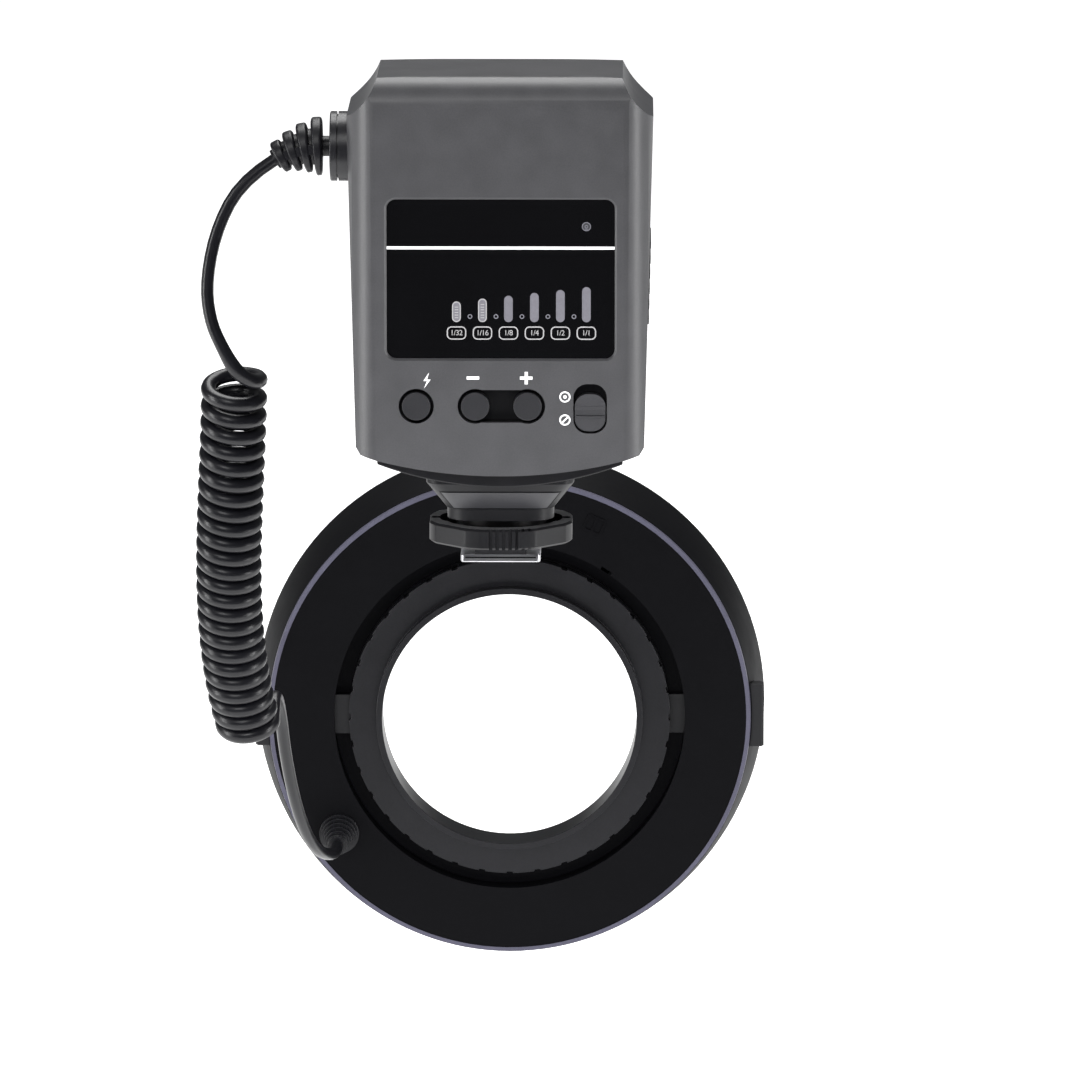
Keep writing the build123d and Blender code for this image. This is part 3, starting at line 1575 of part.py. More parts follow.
# Front bezel, open at each diffuser and at each focus lamp
diffuser_holes = [
    head_ring(
        diffuser_inner, diffuser_outer, bezel_rear - overrun, head_front + overrun, start, lamp_span
    )
    for start in lamp_starts.values()
]
lens_places = [
    head_place(angle + side * focus_lens_turn / 2, tube_track)
    for angle in (90, 270)
    for side in (-1, 1)
]
with BuildPart() as front_bezel:
    with BuildSketch(head_section(0)):
        bezel_ring = (head_opening_radius + head_radius_front) / 2
        with Locations((bezel_ring, (bezel_rear + head_front) / 2)):
            Rectangle(head_radius_front - head_opening_radius, bezel_thick)
        chamfer(vertices().group_by(Axis.Y)[-1], length=bezel_round)
    revolve(axis=lens_axis)
    for hole in diffuser_holes:
        add(hole, mode=Mode.SUBTRACT)
    with BuildSketch(rear_plane(head_front)):
        with Locations(*lens_places):
            Circle(focus_lens_radius)
    extrude(amount=bezel_thick, mode=Mode.SUBTRACT)
front_bezel.part.label = "front_bezel"
export_step(front_bezel.part, "parts/front_bezel.step")

reflector_front = head_front - diffuser_thick
reflector_rear = reflector_front - reflector_depth
tube_y = (reflector_rear + reflector_front) / 2
tube_margin_angle = math.degrees(tube_margin / tube_track)
cap_angle = math.degrees(cap_length / tube_track)
tube_span = lamp_span - 2 * tube_margin_angle

for side, start in lamp_starts.items():
    # Diffuser, crowned outside and open behind
    with BuildPart() as diffuser:
        with BuildSketch(head_section(start)):
            with BuildLine():
                crown_middle = (
                    (diffuser_inner + diffuser_outer) / 2,
                    head_front + diffuser_crown - bezel_round,
                )
                Line((diffuser_inner, reflector_front), (diffuser_inner, head_front - bezel_round))
                ThreePointArc(
                    (diffuser_inner, head_front - bezel_round),
                    crown_middle,
                    (diffuser_outer, head_front - bezel_round),
                )
                Line((diffuser_outer, head_front - bezel_round), (diffuser_outer, reflector_front))
                Line((diffuser_outer, reflector_front), (diffuser_inner, reflector_front))
            make_face()
        revolve(axis=lens_axis, revolution_arc=lamp_span)
    diffuser.part.label = f"diffuser_{side}"
    export_step(diffuser.part, f"parts/diffuser_{side}.step")

    # Reflector, a bright trough behind the diffuser
    with BuildPart() as reflector:
        with BuildSketch(head_section(start)):
            with BuildLine():
                Line((reflector_inner, reflector_front), (reflector_inner, tube_y))
                ThreePointArc(
                    (reflector_inner, tube_y),
                    ((reflector_inner + reflector_outer) / 2, reflector_rear),
                    (reflector_outer, tube_y),
                )
                Line((reflector_outer, tube_y), (reflector_outer, reflector_front))
                Line(
                    (reflector_outer, reflector_front),
                    (reflector_outer - reflector_thick, reflector_front),
                )
                Line(
                    (reflector_outer - reflector_thick, reflector_front),
                    (reflector_outer - reflector_thick, tube_y),
                )
                ThreePointArc(
                    (reflector_outer - reflector_thick, tube_y),
                    ((reflector_inner + reflector_outer) / 2, reflector_rear + reflector_thick),
                    (reflector_inner + reflector_thick, tube_y),
                )
                Line(
                    (reflector_inner + reflector_thick, tube_y),
                    (reflector_inner + reflector_thick, reflector_front),
                )
                Line(
                    (reflector_inner + reflector_thick, reflector_front),
                    (reflector_inner, reflector_front),
                )
            make_face()
        revolve(axis=lens_axis, revolution_arc=lamp_span)
    reflector.part.label = f"reflector_{side}"
    export_step(reflector.part, f"parts/reflector_{side}.step")

    # Flash tube along the trough
    tube_start = start + tube_margin_angle
    with BuildPart() as flash_tube:
        with BuildSketch(head_section(tube_start)):
            with Locations((tube_track, tube_y)):
                Circle(tube_radius)
        revolve(axis=lens_axis, revolution_arc=tube_span)
    flash_tube.part.label = f"flash_tube_{side}"
    export_step(flash_tube.part, f"parts/flash_tube_{side}.step")

# Caps that hold the flash tubes, one at each end of each tube
cap_starts = [
    start + place
    for start in lamp_starts.values()
    for place in (tube_margin_angle - cap_angle, lamp_span - tube_margin_angle)
]
with BuildPart() as tube_caps:
    for cap_start in cap_starts:
        with BuildSketch(head_section(cap_start)):
            with Locations((tube_track, tube_y)):
                Circle(cap_radius)
        revolve(axis=lens_axis, revolution_arc=cap_angle)
tube_caps.part.label = "tube_caps"
export_step(tube_caps.part, "parts/tube_caps.step")

# Lamp board behind the reflectors, and the screws that hold it to the posts
with BuildPart() as lamp_board:
    with BuildSketch(rear_plane(lamp_board_rear + lamp_board_thick)):
        with Locations((0, head_z)):
            Circle(lamp_board_outer)
            Circle(lamp_board_inner, mode=Mode.SUBTRACT)
        with Locations(*[head_place(angle, post_track) for angle in lamp_board_posts]):
            Circle(screw_radius, mode=Mode.SUBTRACT)
    extrude(amount=lamp_board_thick)
lamp_board.part.label = "lamp_board"
export_step(lamp_board.part, "parts/lamp_board.step")

with BuildPart() as board_screws:
    with BuildSketch(rear_plane(lamp_board_rear + lamp_board_thick + screw_head_thick)):
        with Locations(*[head_place(angle, post_track) for angle in lamp_board_posts]):
            Circle(screw_head_radius)
    extrude(amount=screw_head_thick)
    with BuildSketch(rear_plane(lamp_board_rear + lamp_board_thick)):
        with Locations(*[head_place(angle, post_track) for angle in lamp_board_posts]):
            Circle(screw_radius)
    extrude(amount=lamp_board_rear + lamp_board_thick - head_rear - head_wall)
board_screws.part.label = "board_screws"
export_step(board_screws.part, "parts/board_screws.step")

# Focus lamps: holders in the gaps between the flash tubes, lamps on them and lenses in the bezel
holder_front = bezel_rear - focus_lamp_depth - running_gap
with BuildPart() as focus_holders:
    with BuildSketch(rear_plane(holder_front)):
        with Locations((0, head_z + tube_track), (0, head_z - tube_track)):
            RectangleRounded(focus_holder_width, focus_holder_height, board_margin)
    extrude(amount=holder_front - lamp_board_rear - lamp_board_thick)
focus_holders.part.label = "focus_holders"
export_step(focus_holders.part, "parts/focus_holders.step")

with BuildPart() as focus_lamps:
    with BuildSketch(rear_plane(bezel_rear - running_gap)):
        with Locations(*lens_places):
            Rectangle(focus_lamp_width, focus_lamp_width)
    extrude(amount=focus_lamp_depth)
focus_lamps.part.label = "focus_lamps"
export_step(focus_lamps.part, "parts/focus_lamps.step")

with BuildPart() as focus_lenses:
    with BuildSketch(rear_plane(head_front)):
        with Locations(*lens_places):
            Circle(focus_lens_radius - hole_gap)
    extrude(amount=bezel_thick)
    fillet(focus_lenses.edges().group_by(Axis.Y)[-1], radius=bezel_round)
focus_lenses.part.label = "focus_lenses"
export_step(focus_lenses.part, "parts/focus_lenses.step")

# Release latches. Each is a plate round the opening with a button on one side and a claw on the
# other, so a press on the button draws the claw out of the adapter's groove.
latch_button_face = flank_radius(latch_middle_y) + latch_button_proud
for name, angle in (("release_latch_right", 0), ("release_latch_left", 180)):
    depth = latch_depths[angle]
    pieces = [
        head_ring(latch_inner, latch_outer, depth, depth + latch_thick),
        head_block(
            angle,
            (latch_inner + latch_outer) / 2,
            latch_button_root + overrun,
            latch_arm_width,
            depth,
            depth + latch_thick,
        ),
        head_block(
            angle, latch_button_root, latch_button_face, latch_button_width, button_rear, button_front
        ),
        head_block(
            angle + 180,
            claw_reach,
            (latch_inner + latch_outer) / 2,
            claw_width,
            depth,
            depth + latch_thick,
        ),
    ]
    ribs = [
        head_block(
            angle,
            latch_button_face,
            latch_button_face + latch_button_rib_proud,
            latch_button_width,
            button_rear + (index + 1) * latch_button_rib_pitch - latch_button_rib_width,
            button_rear + (index + 1) * latch_button_rib_pitch,
        )
        for index in range(latch_button_ribs)
    ]
    with BuildPart() as release_latch:
        for piece in pieces + ribs:
            add(piece)
    release_latch.part.label = name
    export_step(release_latch.part, f"parts/{name}.step")

# Adapter ring: screws into the lens and turns in the head on its grooved rim
with BuildPart() as adapter_ring:
    with BuildSketch(head_section(0)):
        with BuildLine():
            Polyline(
                (adapter_bore_radius, head_rear - adapter_thread_length),
                (adapter_thread_radius, head_rear - adapter_thread_length),
                (adapter_thread_radius, head_rear),
                (adapter_radius, head_rear),
                (adapter_radius, adapter_groove_low),
                (adapter_groove_radius, adapter_groove_low),
                (adapter_groove_radius, adapter_groove_high),
                (adapter_radius, adapter_groove_high),
                (adapter_radius, adapter_front),
                (adapter_bore_radius, adapter_front),
                close=True,
            )
        make_face()
    revolve(axis=lens_axis)
    with BuildSketch(rear_plane(adapter_groove_low)):
        for index in range(adapter_grip_count):
            angle = 360 * index / adapter_grip_count
            with Locations(Pos(*head_place(angle, adapter_radius)) * Rot(0, 0, angle)):
                Rectangle(2 * adapter_grip_depth, adapter_grip_width)
    extrude(amount=adapter_groove_low - head_rear, mode=Mode.SUBTRACT)
adapter_ring.part.label = "adapter_ring"
export_step(adapter_ring.part, "parts/adapter_ring.step")
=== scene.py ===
"""Macro ring flash: finishes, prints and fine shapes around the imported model.

A controller stands on a shoe foot, a curly cord leaves its left side, and a round lamp head hangs
in front. Lengths are in metres, written as millimetres times MM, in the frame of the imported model:
+Z is up, the photographer stands at -Y and the subject at +Y.
"""

import json
import logging
import math
from dataclasses import dataclass, field
from enum import Enum
from typing import Iterable, Sequence

import bmesh
import bpy
from mathutils import Matrix, Vector

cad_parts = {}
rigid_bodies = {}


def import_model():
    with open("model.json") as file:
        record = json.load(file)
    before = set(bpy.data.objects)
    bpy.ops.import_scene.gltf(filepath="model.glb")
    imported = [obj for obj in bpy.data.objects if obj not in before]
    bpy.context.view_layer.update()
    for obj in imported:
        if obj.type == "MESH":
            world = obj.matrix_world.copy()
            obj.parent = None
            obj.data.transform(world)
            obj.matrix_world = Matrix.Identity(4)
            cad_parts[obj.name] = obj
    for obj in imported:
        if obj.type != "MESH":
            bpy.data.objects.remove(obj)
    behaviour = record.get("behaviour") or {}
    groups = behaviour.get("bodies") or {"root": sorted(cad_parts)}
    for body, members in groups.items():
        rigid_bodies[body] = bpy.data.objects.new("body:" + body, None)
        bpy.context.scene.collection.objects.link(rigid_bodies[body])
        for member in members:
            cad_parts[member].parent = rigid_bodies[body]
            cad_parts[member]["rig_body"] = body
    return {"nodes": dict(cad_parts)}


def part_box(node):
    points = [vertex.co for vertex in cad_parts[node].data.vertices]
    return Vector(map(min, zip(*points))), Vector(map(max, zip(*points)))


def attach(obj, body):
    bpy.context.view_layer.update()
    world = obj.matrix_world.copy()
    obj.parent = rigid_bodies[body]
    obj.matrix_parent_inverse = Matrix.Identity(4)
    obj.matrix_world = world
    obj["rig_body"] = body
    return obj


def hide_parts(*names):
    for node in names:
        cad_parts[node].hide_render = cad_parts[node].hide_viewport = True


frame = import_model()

LOG = logging.getLogger("ring_flash")
MM = 0.001

WELD_GAP = 0.001 * MM
LEAST_EDGE = 0.0005 * MM
FLAT_ANGLE = 0.3
CRISP_ANGLE = 32.0
ROUND_ANGLE = 40.0
BEVEL_SEGMENTS = 2

MOTTLE_DETAIL = 3.0
GRAIN_DETAIL = 2.0
BUMP_STRENGTH = 0.6
TONE_STOPS = (0.35, 0.65)
SUBSURFACE_DEPTH = 2 * MM
FINE_GRAIN = 0.004 * MM
BRUSHED_ALONG_X = (1.0, 40.0, 40.0)

WINDOW_SLOT = "smoked_window"
LETTER_SPACING = 0.92
DIAGONAL = math.sqrt(0.5)
BOX_FACES = (
    (3, 2, 1, 0), (4, 5, 6, 7), (0, 1, 5, 4), (1, 2, 6, 5), (2, 3, 7, 6), (3, 0, 4, 7),
)

Point2 = tuple[float, float]
Point3 = tuple[float, float, float]
Color = tuple[float, float, float]
Inputs = dict[str | int, object]


class Body(Enum):
    """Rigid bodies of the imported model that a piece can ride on."""

    ROOT = "root"
    TEST = "test_button"
    MINUS = "minus_button"
    PLUS = "plus_button"
    SWITCH = "switch_knob"
    DOOR = "door"
    DOOR_SLIDER = "door_slider"
    CLAMP = "clamp"
    WHEEL = "wheel"
    LOCK_PIN = "lock_pin"
    CONTACT_PIN = "contact_pin"
    LATCH_RIGHT = "latch_right"
    LATCH_LEFT = "latch_left"
    ADAPTER = "adapter"


def shade(color: Color, factor: float) -> tuple[float, float, float, float]:
    """Return the colour made lighter or darker by a factor, with full alpha."""
    return tuple(min(1.0, part * factor) for part in color) + (1.0,)


def add_node(
    tree: bpy.types.NodeTree, kind: str, inputs: Inputs | None = None, operation: str = ""
) -> bpy.types.Node:
    """Add a node to a tree and fill its inputs.

    Args:
        tree: The node tree.
        kind: Blender's name for the type of node.
        inputs: Values or other nodes' sockets, by the input's name or number.
        operation: What a math node does.

    Returns:
        The node.
    """
    made = tree.nodes.new(kind)
    if operation:
        made.operation = operation
    for key, value in (inputs or {}).items():
        if isinstance(value, bpy.types.NodeSocket):
            tree.links.new(value, made.inputs[key])
        else:
            made.inputs[key].default_value = value
    return made


def empty_tree(owner: bpy.types.Material | bpy.types.World) -> bpy.types.NodeTree:
    """Switch a material or world to nodes and return its tree without any.

    Args:
        owner: The material or world.

    Returns:
        Its node tree.
    """
    owner.use_nodes = True
    owner.node_tree.nodes.clear()
    return owner.node_tree


def new_object(name: str, data: bpy.types.ID) -> bpy.types.Object:
    """Put a new object into the scene.

    Args:
        name: Its name.
        data: The mesh, curve, light or camera that it shows.

    Returns:
        The object, at the origin.
    """
    made = bpy.data.objects.new(name, data)
    bpy.context.scene.collection.objects.link(made)
    return made


def built(work: bmesh.types.BMesh, name: str, closed: bool = True) -> bpy.types.Mesh:
    """Turn finished work into a mesh.

    Args:
        work: The faces. It is freed.
        name: Name of the mesh.
        closed: Whether the faces enclose a body and are turned outward.

    Returns:
        The mesh.
    """
    if closed:
        bmesh.ops.recalc_face_normals(work, faces=work.faces)
    made = bpy.data.meshes.new(name)
    work.to_mesh(made)
    work.free()
    return made


def settled(holder: bpy.types.Object) -> bpy.types.Mesh:
    """Take a plain mesh off a helper object, with its modifiers applied.

    Args:
        holder: The helper. It is removed.

    Returns:
        The mesh.
    """
    bpy.context.view_layer.update()
    made = bpy.data.meshes.new_from_object(holder.evaluated_get(bpy.context.evaluated_depsgraph_get()))
    holder.modifiers.clear()
    bpy.data.objects.remove(holder)
    return made


@dataclass(frozen=True)
class Finish:
    """A moulded or coated surface: mottled colour, uneven gloss and a fine grain.

    Sizes are those of the pattern on the surface, and shares say how far a value strays.
    """

    name: str
    color: Color
    roughness: float = 0.5
    color_share: float = 0.12
    mottle_size: float = 7 * MM
    roughness_share: float = 0.12
    grain_size: float = 0.35 * MM
    grain_depth: float = 0.012 * MM
    metallic: float = 0.0
    specular: float = 0.5
    coat: float = 0.0
    coat_roughness: float = 0.1
    transmission: float = 0.0
    subsurface: float = 0.0
    stretch: Point3 = (1.0, 1.0, 1.0)

    def material(self) -> bpy.types.Material:
        """Return the finish's material, built on first use.

        Returns:
            A node material that reads Object coordinates.
        """
        known = bpy.data.materials.get(self.name)
        if known:
            return known
        made = bpy.data.materials.new(self.name)
        tree = empty_tree(made)
        mottle, grain = self.patterns(tree)
        gloss = add_node(tree, "ShaderNodeMapRange", {
            "Value": mottle,
            "To Min": self.roughness * (1 - self.roughness_share),
            "To Max": min(1.0, self.roughness * (1 + self.roughness_share)),
        })
        bump = add_node(tree, "ShaderNodeBump", {
            "Strength": BUMP_STRENGTH, "Distance": self.grain_depth, "Height": grain,
        })
        surface = add_node(tree, "ShaderNodeBsdfPrincipled", {
            "Base Color": self.tones(tree, mottle, grain),
            "Roughness": gloss.outputs["Result"],
            "Normal": bump.outputs["Normal"],
            "Metallic": self.metallic,
            "Specular IOR Level": self.specular,
            "Coat Weight": self.coat,
            "Coat Roughness": self.coat_roughness,
            "Transmission Weight": self.transmission,
            "Subsurface Weight": self.subsurface,
            "Subsurface Scale": SUBSURFACE_DEPTH,
        })
        add_node(tree, "ShaderNodeOutputMaterial", {"Surface": surface.outputs["BSDF"]})
        return made

    def patterns(self, tree: bpy.types.NodeTree) -> list[bpy.types.NodeSocket]:
        """Add the coarse and the fine noise, stretched along the grain.

        Args:
            tree: Node tree of the material.

        Returns:
            The sockets of the mottle and of the grain.
        """
        place = add_node(tree, "ShaderNodeTexCoord")
        mapping = add_node(tree, "ShaderNodeMapping", {
            "Vector": place.outputs["Object"], "Scale": self.stretch,
        })
        return [
            add_node(tree, "ShaderNodeTexNoise", {
                "Vector": mapping.outputs["Vector"], "Scale": 1 / size, "Detail": detail,
            }).outputs["Fac"]
            for size, detail in ((self.mottle_size, MOTTLE_DETAIL), (self.grain_size, GRAIN_DETAIL))
        ]

    def tones(
        self, tree: bpy.types.NodeTree, mottle: bpy.types.NodeSocket, grain: bpy.types.NodeSocket
    ) -> bpy.types.NodeSocket:
        """Colour the surface between a darker and a lighter tone.

        Args:
            tree: Node tree of the material.
            mottle: Socket of the coarse noise.
            grain: Socket of the fine noise.

        Returns:
            The socket of the colour.
        """
        both = add_node(tree, "ShaderNodeMath", {0: mottle, 1: grain}, "ADD")
        mean = add_node(tree, "ShaderNodeMath", {0: both.outputs[0], 1: 0.5}, "MULTIPLY")
        tones = add_node(tree, "ShaderNodeValToRGB", {"Fac": mean.outputs[0]})
        factors = (1 - self.color_share, 1 + self.color_share)
        for stop, position, factor in zip(tones.color_ramp.elements, TONE_STOPS, factors):
            stop.position = position
            stop.color = shade(self.color, factor)
        return tones.outputs["Color"]


CASING = Finish("casing_grey_moulding", (0.046, 0.046, 0.049), 0.38, specular=0.4)
CASING_FRONT = Finish("casing_grey_moulding_front", (0.046, 0.046, 0.049), 0.39, specular=0.4)
DOOR_GREY = Finish("door_grey_moulding", (0.046, 0.046, 0.049), 0.38, specular=0.4)
WINDOW_BLACK = Finish(
    "window_smoked_gloss", (0.0018, 0.0018, 0.0022), 0.08, grain_depth=0.0004 * MM,
    mottle_size=16 * MM, roughness_share=0.35, specular=0.3,
)
BAR_GREY = Finish("level_bar_grey", (0.125, 0.122, 0.14), 0.4, color_share=0.1, mottle_size=1 * MM)
PILOT_GREY = Finish("pilot_guide_grey", (0.03, 0.03, 0.034), 0.3)
INK_WHITE = Finish("print_white", (0.8, 0.8, 0.81), 0.55, color_share=0.03, grain_depth=FINE_GRAIN)
INK_GREY = Finish("print_grey", (0.3, 0.295, 0.3), 0.55, color_share=0.08, grain_depth=FINE_GRAIN)
INK_DIM = Finish("print_dim_grey", (0.13, 0.13, 0.15), 0.55, color_share=0.1, grain_depth=FINE_GRAIN)
BUTTON_GREY = Finish("button_dark_grey", (0.018, 0.018, 0.02), 0.4, specular=0.25, grain_depth=FINE_GRAIN)
GUIDE_BLACK = Finish("button_slot_black", (0.002, 0.002, 0.0025), 0.6, specular=0.2)
KNOB_GREY = Finish("switch_knob_grey", (0.034, 0.034, 0.037), 0.4, specular=0.3)
BASE_BLACK = Finish("base_black_moulding", (0.006, 0.006, 0.007), 0.42, specular=0.2)
NECK_GREY = Finish("neck_black_moulding", (0.007, 0.007, 0.008), 0.42, specular=0.2)
PANEL_GREY = Finish("neck_panel_grey", (0.022, 0.022, 0.025), 0.38, specular=0.5)
# Painted highlight: a paler grey for the locking wheel's upward faces, standing in for light from above.
WHEEL_TOP_PAINTED_LIGHT = Finish("wheel_top_painted_highlight", (0.12, 0.12, 0.125), 0.4)
# Painted shade: near black for the shade in the steel foot's slit and in the groove round the neck plate.
GAP_SHADE_BLACK = Finish("painted_gap_shade", (0.002, 0.002, 0.0025), 0.6, specular=0.2)
STEM_BLACK = Finish("stem_black", (0.004, 0.004, 0.005), 0.45)
WHEEL_BLACK = Finish("wheel_black_moulding", (0.007, 0.007, 0.008), 0.4, specular=0.2)
FOOT_STEEL = Finish(
    "foot_bright_steel", (0.52, 0.52, 0.54), 0.3, metallic=1.0, stretch=BRUSHED_ALONG_X,
    grain_depth=FINE_GRAIN, color_share=0.06,
)
CLAMP_STEEL = Finish(
    "clamp_steel", (0.42, 0.42, 0.44), 0.32, metallic=1.0, stretch=BRUSHED_ALONG_X, color_share=0.1,
)
PIN_STEEL = Finish("pin_ground_steel", (0.6, 0.6, 0.62), 0.25, metallic=1.0, color_share=0.08)
SCREW_STEEL = Finish("screw_black_oxide", (0.05, 0.05, 0.054), 0.35, metallic=1.0, color_share=0.2)
CONTACT_GOLD = Finish("contact_plated", (0.8, 0.6, 0.28), 0.25, metallic=1.0, color_share=0.08)
COLLAR_BLACK = Finish("collar_black_moulding", (0.01, 0.01, 0.012), 0.34, specular=0.4)
BOOT_RUBBER = Finish("boot_black_rubber", (0.006, 0.006, 0.0075), 0.4, specular=0.3)
CORD_RUBBER = Finish("cord_black_rubber", (0.004, 0.004, 0.0055), 0.33, specular=0.35)
HEAD_BLACK = Finish("head_black_moulding", (0.003, 0.003, 0.0037), 0.55, specular=0.06)
RIM_PALE = Finish("rim_line_pale", (0.075, 0.073, 0.105), 0.45, color_share=0.15, specular=0.3)
BEZEL_BLACK = Finish("bezel_black_moulding", (0.007, 0.007, 0.008), 0.42)
DIFFUSER_WHITE = Finish(
    "diffuser_frosted", (0.8, 0.81, 0.83), 0.3, color_share=0.03, subsurface=0.15, coat=0.3,
)
LENS_CLEAR = Finish(
    "focus_lens_clear", (0.8, 0.82, 0.84), 0.06, transmission=0.9, grain_depth=0.0, color_share=0.02,
)
REFLECTOR_BRIGHT = Finish("reflector_bright", (0.85, 0.86, 0.87), 0.12, metallic=1.0, color_share=0.03)
TUBE_GLASS = Finish("flash_tube_glass", (0.9, 0.92, 0.93), 0.05, transmission=0.95, color_share=0.02)
CAP_RUBBER = Finish("tube_cap_rubber", (0.6, 0.6, 0.58), 0.6)
BOARD_GREEN = Finish("board_laminate", (0.012, 0.09, 0.04), 0.4, color_share=0.35, mottle_size=2.5 * MM)
HOLDER_BLACK = Finish("holder_black", (0.01, 0.01, 0.011), 0.5)
LAMP_YELLOW = Finish("lamp_chip_yellow", (0.75, 0.6, 0.2), 0.25, color_share=0.1, mottle_size=1 * MM)
LATCH_BLACK = Finish("latch_black_moulding", (0.009, 0.009, 0.0105), 0.42, specular=0.3)
ADAPTER_BLACK = Finish("adapter_anodised", (0.014, 0.014, 0.016), 0.36, metallic=0.5, specular=0.3)
PAD_RUBBER = Finish("key_pad_rubber", (0.05, 0.05, 0.052), 0.6)
CASE_BLACK = Finish("battery_case_black", (0.018, 0.018, 0.019), 0.55)
CELL_SLEEVE = Finish("cell_sleeve", (0.05, 0.14, 0.36), 0.3, color_share=0.2, metallic=0.3)
CAPACITOR_SLEEVE = Finish("capacitor_sleeve", (0.02, 0.02, 0.028), 0.3)
WINDING_AMBER = Finish("winding_tape", (0.45, 0.3, 0.05), 0.4, color_share=0.25, mottle_size=1.5 * MM)

NODE_FINISHES: dict[str, Finish] = {
    "indicator_lamps": LAMP_YELLOW, "control_board": BOARD_GREEN, "main_board": BOARD_GREEN,
    "lamp_board": BOARD_GREEN, "key_pad": PAD_RUBBER, "slide_switch_body": HOLDER_BLACK,
    "battery_case": CASE_BLACK, "battery_contacts": CONTACT_GOLD, "cells": CELL_SLEEVE,
    "door_hinge_pin": PIN_STEEL, "door_contacts": CONTACT_GOLD, "flash_capacitor": CAPACITOR_SLEEVE,
    "transformer": WINDING_AMBER, "collar_nut": HOLDER_BLACK, "tube_caps": CAP_RUBBER,
    "reflector_right": REFLECTOR_BRIGHT, "reflector_left": REFLECTOR_BRIGHT,
    "flash_tube_right": TUBE_GLASS, "flash_tube_left": TUBE_GLASS, "board_screws": SCREW_STEEL,
    "focus_holders": HOLDER_BLACK, "focus_lamps": LAMP_YELLOW, "contact_spring": PIN_STEEL,
    "button_guide": GUIDE_BLACK, "level_bars": BAR_GREY, "pilot_lamp": PILOT_GREY,
}

Skin = tuple[Finish, float]

CONTROLLER_SKINS: dict[str, Skin] = {
    "rear_housing": (CASING, 0.3), "front_housing": (CASING_FRONT, 0.18),
    "casing_screws": (SCREW_STEEL, 0.06), "display_window": (WINDOW_BLACK, 0.12),
    "test_button": (BUTTON_GREY, 0.3), "minus_button": (BUTTON_GREY, 0.3),
    "plus_button": (BUTTON_GREY, 0.3), "switch_knob": (KNOB_GREY, 0.15),
}
FOOT_SKINS: dict[str, Skin] = {
    "base_plate": (BASE_BLACK, 0.3), "foot_neck": (NECK_GREY, 0.3), "foot_stem": (STEM_BLACK, 0.1),
    "clamp_plate": (CLAMP_STEEL, 0.1), "shoe_foot": (FOOT_STEEL, 0.0),
    "foot_screws": (SCREW_STEEL, 0.05), "contact_block": (STEM_BLACK, 0.08),
    "contact_pin": (CONTACT_GOLD, 0.1), "lock_pin": (PIN_STEEL, 0.0),
}
HEAD_SHELL_SKINS: dict[str, Skin] = {
    "head_rear_housing": (HEAD_BLACK, 0.15), "rim_line": (RIM_PALE, 0.0),
    "front_bezel": (BEZEL_BLACK, 0.15),
}
HEAD_HELD_SKINS: dict[str, Skin] = {
    "focus_lenses": (LENS_CLEAR, 0.0), "release_latch_right": (LATCH_BLACK, 0.1),
    "release_latch_left": (LATCH_BLACK, 0.1), "adapter_ring": (ADAPTER_BLACK, 0.1),
}


def node_body(node: str) -> Body:
    """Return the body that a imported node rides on."""
    return Body(frame["nodes"][node]["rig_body"])


def dress_node(node: str, finish: Finish) -> None:
    """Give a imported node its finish.

    Args:
        node: Name of the node.
        finish: Its finish.
    """
    mesh = frame["nodes"][node].data
    mesh.materials.clear()
    mesh.materials.append(finish.material())


def add_piece(
    name: str,
    mesh: bpy.types.Mesh,
    finish: Finish,
    body: Body = Body.ROOT,
    stands_for: Sequence[str] = (),
) -> bpy.types.Object:
    """Make a piece of the object from a mesh that is already in its place.

    Args:
        name: Name of the piece.
        mesh: Its mesh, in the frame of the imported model.
        finish: Its finish.
        body: Body that it rides on.
        stands_for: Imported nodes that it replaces.

    Returns:
        The new object.
    """
    made = new_object(name, mesh)
    mesh.materials.clear()
    mesh.materials.append(finish.material())
    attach(made, body.value)
    if stands_for:
        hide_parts(*stands_for)
    LOG.info("%s: %d faces on %s", name, len(mesh.polygons), body.value)
    return made


def smooth(mesh: bpy.types.Mesh, angle: float = 30.0) -> None:
    """Shade a mesh smooth, with edges sharper than the angle in degrees kept crisp."""
    mesh.shade_smooth()
    mesh.set_sharp_from_angle(angle=math.radians(angle))


def crisp_bevel(made: bpy.types.Object, width: float, angle: float = CRISP_ANGLE) -> None:
    """Round the edges of a piece with a small bevel.

    Args:
        made: The piece.
        width: Width of the bevel.
        angle: Least angle of an edge that is bevelled, in degrees.
    """
    bevel = made.modifiers.new("edge_round", "BEVEL")
    bevel.width = width
    bevel.segments = BEVEL_SEGMENTS
    bevel.limit_method = "ANGLE"
    bevel.angle_limit = math.radians(angle)
    bevel.miter_outer = "MITER_ARC"
    weighted = made.modifiers.new("flat_faces", "WEIGHTED_NORMAL")
    weighted.keep_sharp = True


def node_copy(node: str) -> bpy.types.Mesh:
    """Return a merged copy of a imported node's mesh.

    Args:
        node: Name of the node.

    Returns:
        A new mesh whose triangles share their corners.
    """
    copied = frame["nodes"][node].data.copy()
    copied.name = f"{node}_shape"
    work = bmesh.new()
    work.from_mesh(copied)
    bmesh.ops.remove_doubles(work, verts=work.verts, dist=WELD_GAP)
    bmesh.ops.dissolve_degenerate(work, dist=LEAST_EDGE, edges=work.edges)
    bmesh.ops.dissolve_limit(
        work, angle_limit=math.radians(FLAT_ANGLE), verts=work.verts, edges=work.edges
    )
    work.to_mesh(copied)
    work.free()
    return copied


def refined(node: str, finish: Finish, bevel: float, angle: float = CRISP_ANGLE) -> bpy.types.Object:
    """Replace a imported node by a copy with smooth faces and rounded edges.

    Args:
        node: Name of the node.
        finish: Finish of the piece.
        bevel: Width of the rounding, or zero for none.
        angle: Least angle of an edge that stays crisp, in degrees.

    Returns:
        The new piece.
    """
    mesh = node_copy(node)
    smooth(mesh, angle)
    made = add_piece(f"{node}_skin", mesh, finish, node_body(node), [node])
    if bevel:
        crisp_bevel(made, bevel, angle)
    return made


